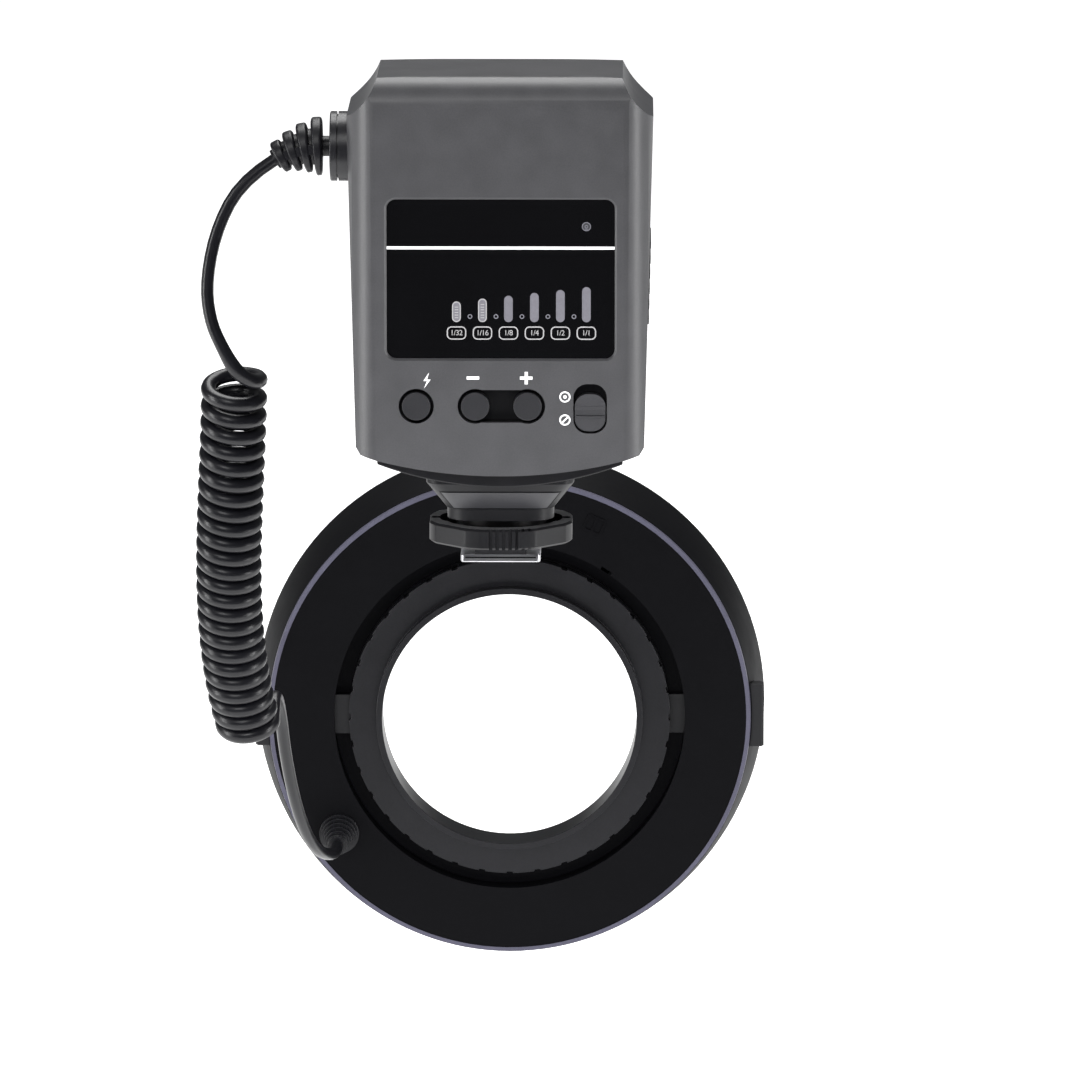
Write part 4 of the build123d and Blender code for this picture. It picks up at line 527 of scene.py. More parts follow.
def refine_all(skins: dict[str, Skin]) -> None:
    """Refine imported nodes, each with its finish and the width of its rounding in millimetres."""
    for node, (finish, bevel) in skins.items():
        refined(node, finish, bevel * MM)


def carved(mesh: bpy.types.Mesh, cutter: bpy.types.Mesh) -> bpy.types.Mesh:
    """Cut a closed shape out of another.

    Args:
        mesh: The shape that is cut.
        cutter: The shape that is taken away.

    Returns:
        A new mesh of what is left.
    """
    whole = new_object("carved_holder", mesh)
    tool = new_object("cutter_holder", cutter)
    cut = whole.modifiers.new("cut", "BOOLEAN")
    cut.operation = "DIFFERENCE"
    cut.solver = "EXACT"
    cut.object = tool
    made = settled(whole)
    bpy.data.objects.remove(tool)
    return made


def prism(outline: Sequence[Point2], low: float, high: float) -> bpy.types.Mesh:
    """Build an upright prism.

    Args:
        outline: X and Y of its corners, in order round it.
        low: Height of its lower end.
        high: Height of its upper end.

    Returns:
        A closed mesh.
    """
    work = bmesh.new()
    rims = [[work.verts.new((x, y, z)) for x, y in outline] for z in (low, high)]
    work.faces.new(list(reversed(rims[0])))
    work.faces.new(rims[1])
    join_rims(work, rims[1], rims[0])
    return built(work, "prism")


def join_rims(work: bmesh.types.BMesh, first: Sequence, last: Sequence) -> None:
    """Join two closed rims of as many corners with faces.

    Args:
        work: The mesh that the corners belong to.
        first: Corners of one rim, in order.
        last: Corners of the other rim, in the same order.
    """
    count = len(first)
    for index in range(count):
        after = (index + 1) % count
        work.faces.new((first[index], last[index], last[after], first[after]))


def circle(radius: float, steps: int = 32) -> list[Point2]:
    """Return the points of a circle about the origin."""
    turns = [math.tau * step / steps for step in range(steps)]
    return [(radius * math.cos(turn), radius * math.sin(turn)) for turn in turns]


def rounded_rectangle(width: float, height: float, radius: float, steps: int = 5) -> list[Point2]:
    """Return the outline of a rounded rectangle about the origin.

    Args:
        width: Size along the first direction.
        height: Size along the second direction.
        radius: Radius of the corners.
        steps: Segments of each corner.

    Returns:
        Points, counterclockwise.
    """
    points = []
    for quarter, (across, up) in enumerate(((1, 1), (-1, 1), (-1, -1), (1, -1))):
        middle = (across * (width / 2 - radius), up * (height / 2 - radius))
        for step in range(steps + 1):
            turn = math.pi / 2 * (quarter + step / steps)
            points.append((middle[0] + radius * math.cos(turn), middle[1] + radius * math.sin(turn)))
    return points


def moved(points: Iterable[Point2], across: float, up: float) -> list[Point2]:
    """Return the points moved by two lengths."""
    return [(x + across, y + up) for x, y in points]


def bar(half: float, thick: float) -> list[Point2]:
    """Return a flat bar about the origin, with half its length and half its height."""
    return [(-half, -thick), (half, -thick), (half, thick), (-half, thick)]


def cross(half: float, thick: float) -> list[Point2]:
    """Draw a plus sign about the origin.

    Args:
        half: Half the length of its bars.
        thick: Half their height.

    Returns:
        Its twelve corners, counterclockwise.
    """
    return [
        (-half, -thick), (-thick, -thick), (-thick, -half), (thick, -half), (thick, -thick),
        (half, -thick), (half, thick), (thick, thick), (thick, half), (-thick, half),
        (-thick, thick), (-half, thick),
    ]


@dataclass
class FlatShapes:
    """Thin raised shapes on a plane that faces the photographer, such as prints.

    Outlines are given as X and Z. The shapes lie on the plane at depth y.
    """

    y: float
    thickness: float
    work: bmesh.types.BMesh = field(default_factory=bmesh.new)

    def corners(self, outline: Sequence[Point2], depth: float) -> list[bmesh.types.BMVert]:
        """Add the corners of an outline at a depth."""
        return [self.work.verts.new((x, depth, z)) for x, z in outline]

    def plate(self, outline: Sequence[Point2]) -> "FlatShapes":
        """Add a filled shape.

        Args:
            outline: Its outline, counterclockwise as the photographer sees it.

        Returns:
            The same collection of shapes.
        """
        face = self.corners(outline, self.y - self.thickness)
        base = self.corners(outline, self.y)
        self.work.faces.new(face)
        self.work.faces.new(list(reversed(base)))
        join_rims(self.work, face, base)
        return self

    def band(self, outer: Sequence[Point2], inner: Sequence[Point2]) -> "FlatShapes":
        """Add a closed band between two outlines with as many points each.

        Args:
            outer: The outline round the band.
            inner: The outline of its opening.

        Returns:
            The same collection of shapes.
        """
        rims = [
            self.corners(outline, depth)
            for depth in (self.y - self.thickness, self.y)
            for outline in (outer, inner)
        ]
        for first, last in ((1, 0), (0, 2), (2, 3), (3, 1)):
            join_rims(self.work, rims[first], rims[last])
        return self

    def ring(self, x: float, z: float, radius: float, line: float, steps: int = 32) -> "FlatShapes":
        """Add a circle drawn with a line.

        Args:
            x: X of the middle.
            z: Z of the middle.
            radius: Radius of the line's outer edge.
            line: Width of the line.
            steps: Segments round the circle.

        Returns:
            The same collection of shapes.
        """
        return self.band(
            moved(circle(radius, steps), x, z), moved(circle(radius - line, steps), x, z)
        )

    def frame(self, middle: Point2, size: Point2, corner: float, line: float) -> "FlatShapes":
        """Add a rounded rectangle drawn with a line.

        Args:
            middle: X and Z of the middle.
            size: Width and height over the line.
            corner: Radius of the corners, over the line.
            line: Width of the line.

        Returns:
            The same collection of shapes.
        """
        width, height = size
        return self.band(
            moved(rounded_rectangle(width, height, corner), *middle),
            moved(rounded_rectangle(width - 2 * line, height - 2 * line, corner - line), *middle),
        )

    def mesh(self, name: str) -> bpy.types.Mesh:
        """Return the shapes as one mesh with its faces outward."""
        return built(self.work, name)

    def piece(self, name: str, finish: Finish, slot: str, body: Body = Body.ROOT) -> None:
        """Make a piece of the object from the shapes.

        Args:
            name: Name of the piece.
            finish: Its finish.
            slot: Material slot of the record; not used.
            body: Body that it rides on.
        """
        add_piece(name, self.mesh(name), finish, body)


class Repeat:
    """Geometry Nodes tree that repeats an item along a line."""

    def __init__(self) -> None:
        """Build the tree once."""
        self.tree = bpy.data.node_groups.new("repeat_item", "GeometryNodeTree")
        face = self.tree.interface
        face.new_socket("Item", in_out="INPUT", socket_type="NodeSocketGeometry")
        kinds = {"Count": "Int", "Offset": "Vector", "Finish": "Material"}
        self.sockets = {
            name: face.new_socket(name, in_out="INPUT", socket_type=f"NodeSocket{kind}")
            for name, kind in kinds.items()
        }
        face.new_socket("Geometry", in_out="OUTPUT", socket_type="NodeSocketGeometry")
        self.build()

    def build(self) -> None:
        """Add the tree's nodes: points, an instance at each, then real geometry."""
        given = add_node(self.tree, "NodeGroupInput").outputs
        line = add_node(self.tree, "GeometryNodeMeshLine", {
            "Count": given["Count"], "Offset": given["Offset"],
        })
        line.mode = "OFFSET"
        copies = add_node(self.tree, "GeometryNodeInstanceOnPoints", {
            "Points": line.outputs["Mesh"], "Instance": given["Item"],
        })
        real = add_node(self.tree, "GeometryNodeRealizeInstances", {
            "Geometry": copies.outputs["Instances"],
        })
        paint = add_node(self.tree, "GeometryNodeSetMaterial", {
            "Geometry": real.outputs["Geometry"], "Material": given["Finish"],
        })
        add_node(self.tree, "NodeGroupOutput", {"Geometry": paint.outputs["Geometry"]})

    def mesh(
        self, item: bpy.types.Mesh, count: int, finish: Finish, offset: Point3
    ) -> bpy.types.Mesh:
        """Repeat an item.

        Args:
            item: Mesh of one item, in the place of the first copy.
            count: Number of copies.
            finish: Finish of the copies.
            offset: Step from one copy to the next.

        Returns:
            A plain mesh of all copies.
        """
        holder = new_object("repeat_holder", item)
        modifier = holder.modifiers.new("repeat", "NODES")
        modifier.node_group = self.tree
        values = {"Count": count, "Offset": Vector(offset), "Finish": finish.material()}
        for name, value in values.items():
            modifier[self.sockets[name].identifier] = value
        return settled(holder)


REPEAT = Repeat()


BOLT_SHARES: tuple[Point2, ...] = (
    (-0.16, -0.5), (0.26, 0.06), (0.03, 0.06), (0.16, 0.5), (-0.2, -0.03), (0.03, -0.03),
)


def rear_text(text: str, size: float, place: Point3, thickness: float) -> bpy.types.Mesh:
    """Build raised lettering that faces the photographer.

    Args:
        text: The words.
        size: Height of the type.
        place: The middle of the words, on the plane under them.
        thickness: Height of the lettering above it.

    Returns:
        A mesh in its place.
    """
    curve = bpy.data.curves.new("type", "FONT")
    curve.body = text
    curve.size = size
    curve.align_x = "CENTER"
    curve.align_y = "CENTER"
    curve.extrude = thickness / 2
    curve.space_character = LETTER_SPACING
    made = settled(new_object("type_holder", curve))
    lift = Vector((0.0, -thickness / 2, 0.0))
    made.transform(Matrix.Translation(Vector(place) + lift) @ Matrix.Rotation(math.pi / 2, 4, "X"))
    return made


@dataclass
class Controller:
    """The controller: casing, display window, buttons, switch, prints and battery door."""

    print_thick: float = 0.03 * MM
    line_z: float = 76.1 * MM
    line_height: float = 0.68 * MM
    bar_x: float = -9.96 * MM
    bar_pitch: float = 6.0 * MM
    label_z: float = 56.24 * MM
    label_width: float = 4.5 * MM
    label_height: float = 3.1 * MM
    label_corner: float = 1.1 * MM
    label_line: float = 0.27 * MM
    label_text: float = 1.75 * MM
    dot_x: float = -6.84 * MM
    dot_z: float = 60.1 * MM
    dot_radius: float = 0.55 * MM
    dot_line: float = 0.22 * MM
    pilot_x: float = 20.03 * MM
    pilot_radius: float = 1.05 * MM
    pilot_line: float = 0.2 * MM
    lit_count: int = 2
    bar_width: float = 2.0 * MM
    bar_first_height: float = 4.8 * MM
    bar_growth: float = 0.68 * MM
    bar_line: float = 0.24 * MM
    tick_pitch: float = 0.62 * MM
    pilot_z: float = 81.1 * MM
    sign_z: float = 45.8 * MM
    minus_x: float = -6.17 * MM
    plus_x: float = 6.15 * MM
    sign_long: float = 2.9 * MM
    sign_thick: float = 0.72 * MM
    bolt_x: float = -16.9 * MM
    bolt_z: float = 45.2 * MM
    bolt_height: float = 3.7 * MM
    ridge_high_z: float = 39.1 * MM
    ridge_low_z: float = 36.8 * MM
    ridge_height: float = 0.26 * MM
    ridge_inset: float = 0.25 * MM
    ridge_sink: float = 0.6 * MM
    ridge_proud: float = 0.1 * MM
    icon_x: float = 15.1 * MM
    icon_high_z: float = 41.4 * MM
    icon_low_z: float = 36.0 * MM
    icon_radius: float = 1.3 * MM
    slash_share: float = 0.8
    door_angle: float = 12.0
    cell_end_facing: float = 0.9
    bar_round: float = 0.98
    tick_share: float = 0.42
    tick_thick: float = 0.4
    pilot_tick_out: float = 0.35
    pilot_tick_drop: float = 1.45
    dot_steps: int = 20
    glow_steps: int = 16
    labels: tuple[str, ...] = ("1/32", "1/16", "1/8", "1/4", "1/2", "1/1")

    def build(self) -> None:
        """Build and dress the controller's pieces."""
        refine_all(CONTROLLER_SKINS)
        self.knob_ridges()
        refined("battery_door", DOOR_GREY, 0.0, self.door_angle)
        self.cell_ends()
        self.window_prints()
        self.casing_prints()

    def cell_ends(self) -> None:
        """Give the cells bare steel ends inside their sleeves."""
        mesh = frame["nodes"]["cells"].data
        mesh.materials.append(PIN_STEEL.material())
        for face in mesh.polygons:
            if abs(face.normal.x) > self.cell_end_facing:
                face.material_index = 1

    def knob_ridges(self) -> None:
        """Add the two fine ridges across the switch knob."""
        low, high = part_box("switch_knob")
        middle = (low.x + high.x) / 2
        half = (high.x - low.x) / 2 - self.ridge_inset
        ridges = FlatShapes(low.y + self.ridge_sink, self.ridge_sink + self.ridge_proud)
        for z in (self.ridge_high_z, self.ridge_low_z):
            ridges.plate(moved(bar(half, self.ridge_height / 2), middle, z))
        ridges.piece("knob_ridges", KNOB_GREY, "switch_knob", Body.SWITCH)

    def window_prints(self) -> None:
        """Print the line, dots, label boxes and fractions on the display window."""
        low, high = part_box("display_window")
        face = low.y
        stripe = bar((high.x - low.x) / 2, self.line_height / 2)
        line = FlatShapes(face, self.print_thick)
        line.plate(moved(stripe, (low.x + high.x) / 2, self.line_z))
        line.piece("window_line", INK_WHITE, WINDOW_SLOT)
        step = (self.bar_pitch, 0.0, 0.0)
        dot = FlatShapes(face, self.print_thick)
        dot.ring(self.dot_x, self.dot_z, self.dot_radius, self.dot_line, self.dot_steps)
        dots = REPEAT.mesh(dot.mesh("dot"), len(self.labels) - 1, INK_DIM, step)
        add_piece("level_dots", dots, INK_DIM)
        box = FlatShapes(face, self.print_thick).frame(
            (self.bar_x, self.label_z), (self.label_width, self.label_height),
            self.label_corner, self.label_line,
        )
        frames = REPEAT.mesh(box.mesh("label_frame"), len(self.labels), INK_GREY, step)
        add_piece("label_frames", frames, INK_GREY)
        for index, text in enumerate(self.labels):
            place = (self.bar_x + index * self.bar_pitch, face, self.label_z)
            mesh = rear_text(text, self.label_text, place, self.print_thick)
            add_piece(f"label_{index + 1}", mesh, INK_GREY)
        self.pilot_print(face)
        self.lit_bars(face)

    def pilot_print(self, face: float) -> None:
        """Print the ring and the small lamp sign on the pilot light.

        Args:
            face: Y of the window's outer face.
        """
        shapes = FlatShapes(face, self.print_thick)
        shapes.ring(self.pilot_x, self.pilot_z, self.pilot_radius, self.pilot_line)
        glow = (self.pilot_radius - self.pilot_line) / 2
        shapes.ring(self.pilot_x, self.pilot_z, glow, self.pilot_line, self.glow_steps)
        tick = bar(self.pilot_line / 2, glow / 3)
        drop = glow * self.pilot_tick_drop
        for out in (-glow * self.pilot_tick_out, glow * self.pilot_tick_out):
            shapes.plate(moved(tick, self.pilot_x + out, self.pilot_z - drop))
        shapes.piece("pilot_ring", INK_DIM, WINDOW_SLOT)

    def lit_bars(self, face: float) -> None:
        """Draw the pale edge and the cross ticks on the two lowest level bars.

        Args:
            face: Y of the window's outer face.
        """
        low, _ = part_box("level_bars")
        half = self.bar_width / 2
        mark = bar(half * self.tick_share, self.bar_line * self.tick_thick)
        for index in range(self.lit_count):
            x = self.bar_x + index * self.bar_pitch
            height = self.bar_first_height + index * self.bar_growth
            edge = FlatShapes(face, self.print_thick).frame(
                (x, low.z + height / 2), (self.bar_width, height),
                half * self.bar_round, self.bar_line,
            )
            edge.piece(f"lit_bar_edge_{index + 1}", INK_GREY, WINDOW_SLOT)
            tick = FlatShapes(face, self.print_thick).plate(moved(mark, x, low.z + half))
            count = int((height - self.bar_width) / self.tick_pitch) + 1
            ticks = REPEAT.mesh(tick.mesh("tick"), count, INK_GREY, (0.0, 0.0, self.tick_pitch))
            add_piece(f"lit_bar_ticks_{index + 1}", ticks, INK_GREY)

    def casing_prints(self) -> None:
        """Print the signs over the buttons and beside the switch."""
        low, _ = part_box("rear_housing")
        signs = FlatShapes(low.y, self.print_thick)
        half, thick = self.sign_long / 2, self.sign_thick / 2
        signs.plate(moved(bar(half, thick), self.minus_x, self.sign_z))
        signs.plate(moved(cross(half, thick), self.plus_x, self.sign_z))
        bolt = [(x * self.bolt_height, z * self.bolt_height) for x, z in BOLT_SHARES]
        signs.plate(moved(bolt, self.bolt_x, self.bolt_z))
        for z in (self.icon_high_z, self.icon_low_z):
            signs.ring(self.icon_x, z, self.icon_radius, thick)
        pupil = circle(self.icon_radius / 3, self.dot_steps)
        signs.plate(moved(pupil, self.icon_x, self.icon_high_z))
        level = bar(self.icon_radius * self.slash_share, thick / 2)
        slash = [((x - z) * DIAGONAL, (x + z) * DIAGONAL) for x, z in level]
        signs.plate(moved(slash, self.icon_x, self.icon_low_z))
        signs.piece("casing_signs", INK_WHITE, "casing")


@dataclass
class ShoeFoot:
    """The foot: base plate, neck, locking wheel, clamp plate, steel plate and pins.

    The neck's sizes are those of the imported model: its slope falls inward from top to middle.
    """

    neck_top: float = 19.9 * MM
    neck_mid: float = 13.2 * MM
    neck_top_half: float = 17.2 * MM
    neck_low_half: float = 12.5 * MM
    neck_corner: float = 4.0 * MM
    bed_low: float = 13.22 * MM
    bed_high: float = 18.0 * MM
    bed_inset: float = 0.35 * MM
    bed_proud: float = 0.04 * MM
    plate_gap: float = 0.32 * MM
    plate_proud: float = 0.22 * MM
    pocket_x: float = 12.3 * MM
    pocket_half_x: float = 2.1 * MM
    pocket_half_y: float = 5.2 * MM
    pocket_floor: float = 5.2 * MM
    pocket_steps: int = 40
    # Faces that point up this much, within this depth of the top, get the painted highlight.
    highlight_facing: float = 0.99
    highlight_depth: float = 0.1 * MM
    wheel_bevel: float = 0.12 * MM
    bed_corner_share: float = 0.3
    bed_columns: int = 40
    slit_height: float = 0.34 * MM
    slit_sink: float = 0.1 * MM
    slit_inset: float = 1.0 * MM
    slit_z: float = 1.12 * MM
    slit_round: float = 0.48
    slit_proud: float = 0.02 * MM

    def build(self) -> None:
        """Build and dress the foot's pieces."""
        refine_all(FOOT_SKINS)
        self.wheel()
        self.neck_plate()
        self.foot_slit()

    def wheel(self) -> None:
        """Cut the two side pockets into the locking wheel and give its upward faces at the top a paler
        grey: a painted highlight for light from above.
        """
        mesh = node_copy("locking_wheel")
        _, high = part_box("locking_wheel")
        for side in (-1, 1):
            outline = [
                (side * self.pocket_x + self.pocket_half_x * x, self.pocket_half_y * y)
                for x, y in circle(1.0, self.pocket_steps)
            ]
            mesh = carved(mesh, prism(outline, self.pocket_floor, high.z + MM))
        smooth(mesh, CRISP_ANGLE)
        made = add_piece(
            "locking_wheel_skin", mesh, WHEEL_BLACK, Body.WHEEL,
            ["locking_wheel"],
        )
        # The upward faces at the wheel's top take the paler grey: painted highlight.
        mesh.materials.append(WHEEL_TOP_PAINTED_LIGHT.material())
        for face in mesh.polygons:
            if face.normal.z > self.highlight_facing and face.center.z > high.z - self.highlight_depth:
                face.material_index = 1
        crisp_bevel(made, self.wheel_bevel)

    def neck_half(self, z: float) -> float:
        """Return half the neck's width at a height on its slope."""
        share = (z - self.neck_mid) / (self.neck_top - self.neck_mid)
        return self.neck_low_half + share * (self.neck_top_half - self.neck_low_half)

    def neck_y(self, x: float, z: float) -> float:
        """Find the depth of the neck's rear slope, with its rounded corners.

        Args:
            x: Place across the slope.
            z: Height on the slope.

        Returns:
            The Y of the slope's face.
        """
        half = self.neck_half(z)
        beyond = max(0.0, abs(x) - (half - self.neck_corner))
        return -(half - self.neck_corner + math.sqrt(max(0.0, self.neck_corner**2 - beyond**2)))

    def slope_plate(self, name: str, gap: float, proud: float) -> bpy.types.Mesh:
        """Build a thin plate that lies on the neck's rear slope.

        Args:
            name: Name of the mesh.
            gap: Distance of its edges from the bed's edges.
            proud: Height of its face over the slope.

        Returns:
            A closed mesh.
        """
        low, high = self.bed_low + gap, self.bed_high - gap
        work = bmesh.new()
        rims = []
        for z, lift in ((low, proud), (high, proud), (high, -proud), (low, -proud)):
            corner = self.neck_corner * self.bed_corner_share
            half = self.neck_half(z) - corner - self.bed_inset - gap
            across = [half * (2 * step / self.bed_columns - 1) for step in range(self.bed_columns + 1)]
            rims.append([work.verts.new((x, self.neck_y(x, z) - lift, z)) for x in across])
        for first, last in zip(rims, rims[1:] + rims[:1]):
            for index in range(self.bed_columns):
                work.faces.new((first[index], first[index + 1], last[index + 1], last[index]))
        work.faces.new([rim[0] for rim in rims])
        work.faces.new([rim[-1] for rim in reversed(rims)])
        return built(work, name)

    def neck_plate(self) -> None:
        """Lay a grey plate on the neck's rear slope, in a near-black bed whose rim round the plate is
        painted shade for the groove there.
        """
        # The bed's near-black rim round the plate is painted shade.
        layers = (
            ("neck_plate_shade_bed", GAP_SHADE_BLACK, 0.0, self.bed_proud),
            ("neck_plate", PANEL_GREY, self.plate_gap, self.plate_proud),
        )
        for name, finish, gap, proud in layers:
            mesh = self.slope_plate(name, gap, proud)
            smooth(mesh, ROUND_ANGLE)
            add_piece(name, mesh, finish)

    def foot_slit(self) -> None:
        """Draw the slit between the two layers of the steel foot's rear edge as a near-black strip:
        painted shade.
        """
        low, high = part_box("shoe_foot")
        outline = rounded_rectangle(
            high.x - low.x - 2 * self.slit_inset, self.slit_height, self.slit_height * self.slit_round
        )
        slit = FlatShapes(low.y + self.slit_sink, self.slit_sink + self.slit_proud)
        slit.plate(moved(outline, 0.0, self.slit_z))
        slit.piece("foot_slit", GAP_SHADE_BLACK, "foot_metal")


@dataclass
class CurlyCord:
    """The cord from the controller to the lamp head, with its strain reliefs.

    Points and sizes without MM are in millimetres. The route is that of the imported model, but the
    coil's axis leans out a little more and its wire is thicker, so that its turns close up.
    """

    diameter: float = 3.0 * MM
    collar_bevel: float = 0.12 * MM
    head_boot_bevel: float = 0.15 * MM
    boot_start: float = -39.75
    boot_z: float = 96.5
    boot_stub: float = 1.7
    boot_length: float = 11.8
    boot_turn: float = 32.0
    boot_core: float = 2.4
    boot_first: float = 6.85
    boot_last: float = 3.9
    boot_ribs: int = 4
    rib_share: float = 0.8
    valley_share: float = 0.62
    rib_squareness: int = 6
    web_half: float = 1.1
    web_reach: float = 0.97
    web_root: float = 0.6
    boot_steps: int = 96
    boot_sides: int = 40
    boot_end: Point3 = (-52.65, 2.0, 93.29)
    upper_points: tuple[Point3, ...] = (
        (-60.3, 2.0, 88.5),
        (-66.5, 1.8, 77.0),
        (-69.0, 0.8, 64.0),
        (-67.8, -0.75, 55.2),
    )
    lower_points: tuple[Point3, ...] = (
        (-55.1, 47.4, -42.55),
        (-54.5, 58.0, -49.0),
        (-53.5, 67.5, -64.0),
        (-51.0, 79.5, -80.5),
        (-47.5, 94.0, -92.5),
        (-43.0, 110.5, -97.4),
    )
    head_end: Point3 = (-43.0, 122.0, -97.4)
    axis_points: tuple[Point3, ...] = (
        (-62.6, 4.5, 48.0),
        (-62.5, 12.0, 15.0),
        (-69.0, 25.0, -17.5),
        (-61.3, 39.5, -49.0),
    )
    coil_radius: float = 6.1
    coil_turns: float = 24.28
    coil_diameter: float = 3.55
    spread: float = 3.0
    spread_turns: float = 4.0
    drop: float = 6.5
    drop_turns: float = 0.09
    first_turn: float = -100.0
    points_per_turn: int = 20
    axis_steps: int = 400
    heading_step: float = 0.001
    wire_round_steps: int = 4
    wire_run_steps: int = 4
    real_length: float = 1.103

    def axis(self, share: float) -> tuple[Vector, Vector]:
        """Follow the coil's axis.

        Args:
            share: Share of the axis's run.

        Returns:
            The axis's point there and its direction.
        """
        a, b, c, d = (Vector(point) for point in self.axis_points)
        rest = 1 - share
        point = a * rest**3 + b * (3 * rest**2 * share) + c * (3 * rest * share**2) + d * share**3
        slope = (b - a) * rest**2 + (c - b) * (2 * rest * share) + (d - c) * share**2
        return point, slope.normalized()

    def axis_lengths(self) -> list[float]:
        """Measure the axis.

        Returns:
            Its length up to each of its steps.
        """
        points = [self.axis(step / self.axis_steps)[0] for step in range(self.axis_steps + 1)]
        lengths = [0.0]
        for point, after in zip(points, points[1:]):
            lengths.append(lengths[-1] + (after - point).length)
        return lengths

    def share_at(self, distance: float, lengths: Sequence[float]) -> float:
        """Find a place on the coil's axis.

        Args:
            distance: Distance along the axis.
            lengths: The axis's length up to each of its steps.

        Returns:
            The share of the axis's run at that distance.
        """
        step = 0
        while step < self.axis_steps - 1 and lengths[step + 1] < distance:
            step += 1
        part = (distance - lengths[step]) / (lengths[step + 1] - lengths[step])
        return (step + part) / self.axis_steps

    def coil_points(self) -> list[Vector]:
        """Return the coil's points with a straight lead at each end.

        Returns:
            Points in millimetres, in order down the coil.
        """
        lengths = self.axis_lengths()
        close_run = lengths[-1] - self.spread - self.drop
        turns = self.coil_turns
        pitch = close_run / turns
        widened = self.coil_radius / math.cos(math.pi / self.points_per_turn)

        def point(turn: float, radius: float) -> Vector:
            """Follow the wire.

            Args:
                turn: Turns from the coil's start.
                radius: Distance from the axis, in millimetres.

            Returns:
                The wire's point there.
            """
            spread = self.spread * (1 - math.exp(-turn / self.spread_turns))
            drop = self.drop * (1 - math.exp(-turn / self.drop_turns))
            middle, along = self.axis(self.share_at(turn * pitch + spread + drop, lengths))
            side = (Vector((1, 0, 0)) - along * along.x).normalized()
            away = side.cross(along)
            angle = math.radians(self.first_turn + turn * 360)
            return middle + side * (radius * math.cos(angle)) + away * (radius * math.sin(angle))

        def heading(turn: float) -> Vector:
            """Follow the wire's direction.

            Args:
                turn: Turns from the coil's start.

            Returns:
                A direction of length one.
            """
            before = max(turn - self.heading_step, 0)
            after = before + 2 * self.heading_step
            return (point(after, self.coil_radius) - point(before, self.coil_radius)).normalized()

        count = round(turns * self.points_per_turn)
        lead = self.diameter / MM
        first = point(0, self.coil_radius) - heading(0) * lead
        last = point(turns, self.coil_radius) + heading(turns) * lead
        inner = [point(turns * (index + 0.5) / count, widened) for index in range(count)]
        return [first, *inner, last]

    def boot_frame(self, run: float) -> tuple[Vector, Vector, Vector]:
        """Follow the boot's drooping middle line.

        Args:
            run: Distance from the collar's face, in millimetres.

        Returns:
            The line's point there, its direction and the way up across it.
        """
        bend = self.boot_length / math.radians(self.boot_turn)
        turn = max(0.0, run - self.boot_stub) / bend
        straight = min(run, self.boot_stub)
        point = Vector((
            self.boot_start - straight - bend * math.sin(turn),
            self.boot_end[1],
            self.boot_z - bend * (1 - math.cos(turn)),
        ))
        along = Vector((-math.cos(turn), 0.0, -math.sin(turn)))
        return point, along, Vector((-math.sin(turn), 0.0, math.cos(turn)))

    def crest(self, rib: int) -> float:
        """Return the radius of one of the boot's ribs, counted from the collar."""
        return self.boot_first - rib * (self.boot_first - self.boot_last) / (self.boot_ribs - 1)

    def boot_radius(self, run: float) -> float:
        """Shape the boot's outline: round ribs and narrow valleys.

        Args:
            run: Distance from the collar's face, in millimetres.

        Returns:
            The boot's radius there, in millimetres.
        """
        if run <= self.boot_stub:
            return self.boot_core
        pitch = self.boot_length / self.boot_ribs
        rib = min(self.boot_ribs - 1, int((run - self.boot_stub) / pitch))
        place = (run - self.boot_stub) / pitch - rib
        share = min(1.0, place / self.rib_share)
        bulge = (1 - abs(2 * share - 1) ** self.rib_squareness) ** 0.5
        floor = max(self.boot_core, self.crest(rib) * self.valley_share)
        return floor + (self.crest(rib) - floor) * bulge

    def ribbed_boot(self) -> None:
        """Turn the drooping strain relief: four thick ribs with webs across the valleys."""
        work = bmesh.new()
        rings = []
        for step in range(self.boot_steps + 1):
            run = (self.boot_stub + self.boot_length) * step / self.boot_steps
            point, _, up = self.boot_frame(run)
            rings.append([
                work.verts.new((point + up * across + Vector((0, side, 0))) * MM)
                for across, side in circle(self.boot_radius(run), self.boot_sides)
            ])
        for ring, after in zip(rings, rings[1:]):
            join_rims(work, ring, after)
        work.faces.new(rings[0])
        work.faces.new(list(reversed(rings[-1])))
        for valley in range(1, self.boot_ribs):
            self.boot_web(work, valley)
        mesh = built(work, "cord_boot_skin")
        smooth(mesh, ROUND_ANGLE)
        add_piece("cord_boot_skin", mesh, BOOT_RUBBER, stands_for=["cord_boot"])

    def boot_web(self, work: bmesh.types.BMesh, valley: int) -> None:
        """Add the webs that bridge one valley of the boot, near side and far side.

        Args:
            work: Mesh of the boot.
            valley: Number of the valley, counted from the collar.
        """
        pitch = self.boot_length / self.boot_ribs
        middle = self.boot_stub + (valley - (1 - self.rib_share) / 2) * pitch
        point, along, up = self.boot_frame(middle)
        half = (1 - self.rib_share) * pitch
        depths = (self.boot_core * self.web_root, self.crest(valley) * self.web_reach)
        for side in (-1, 1):
            corners = [
                work.verts.new(
                    (point + along * (half * a) + up * (self.web_half * b) + Vector((0, side * c, 0)))
                    * MM
                )
                for c in depths
                for a, b in ((-1, -1), (1, -1), (1, 1), (-1, 1))
            ]
            for face in BOX_FACES:
                work.faces.new([corners[index] for index in face])

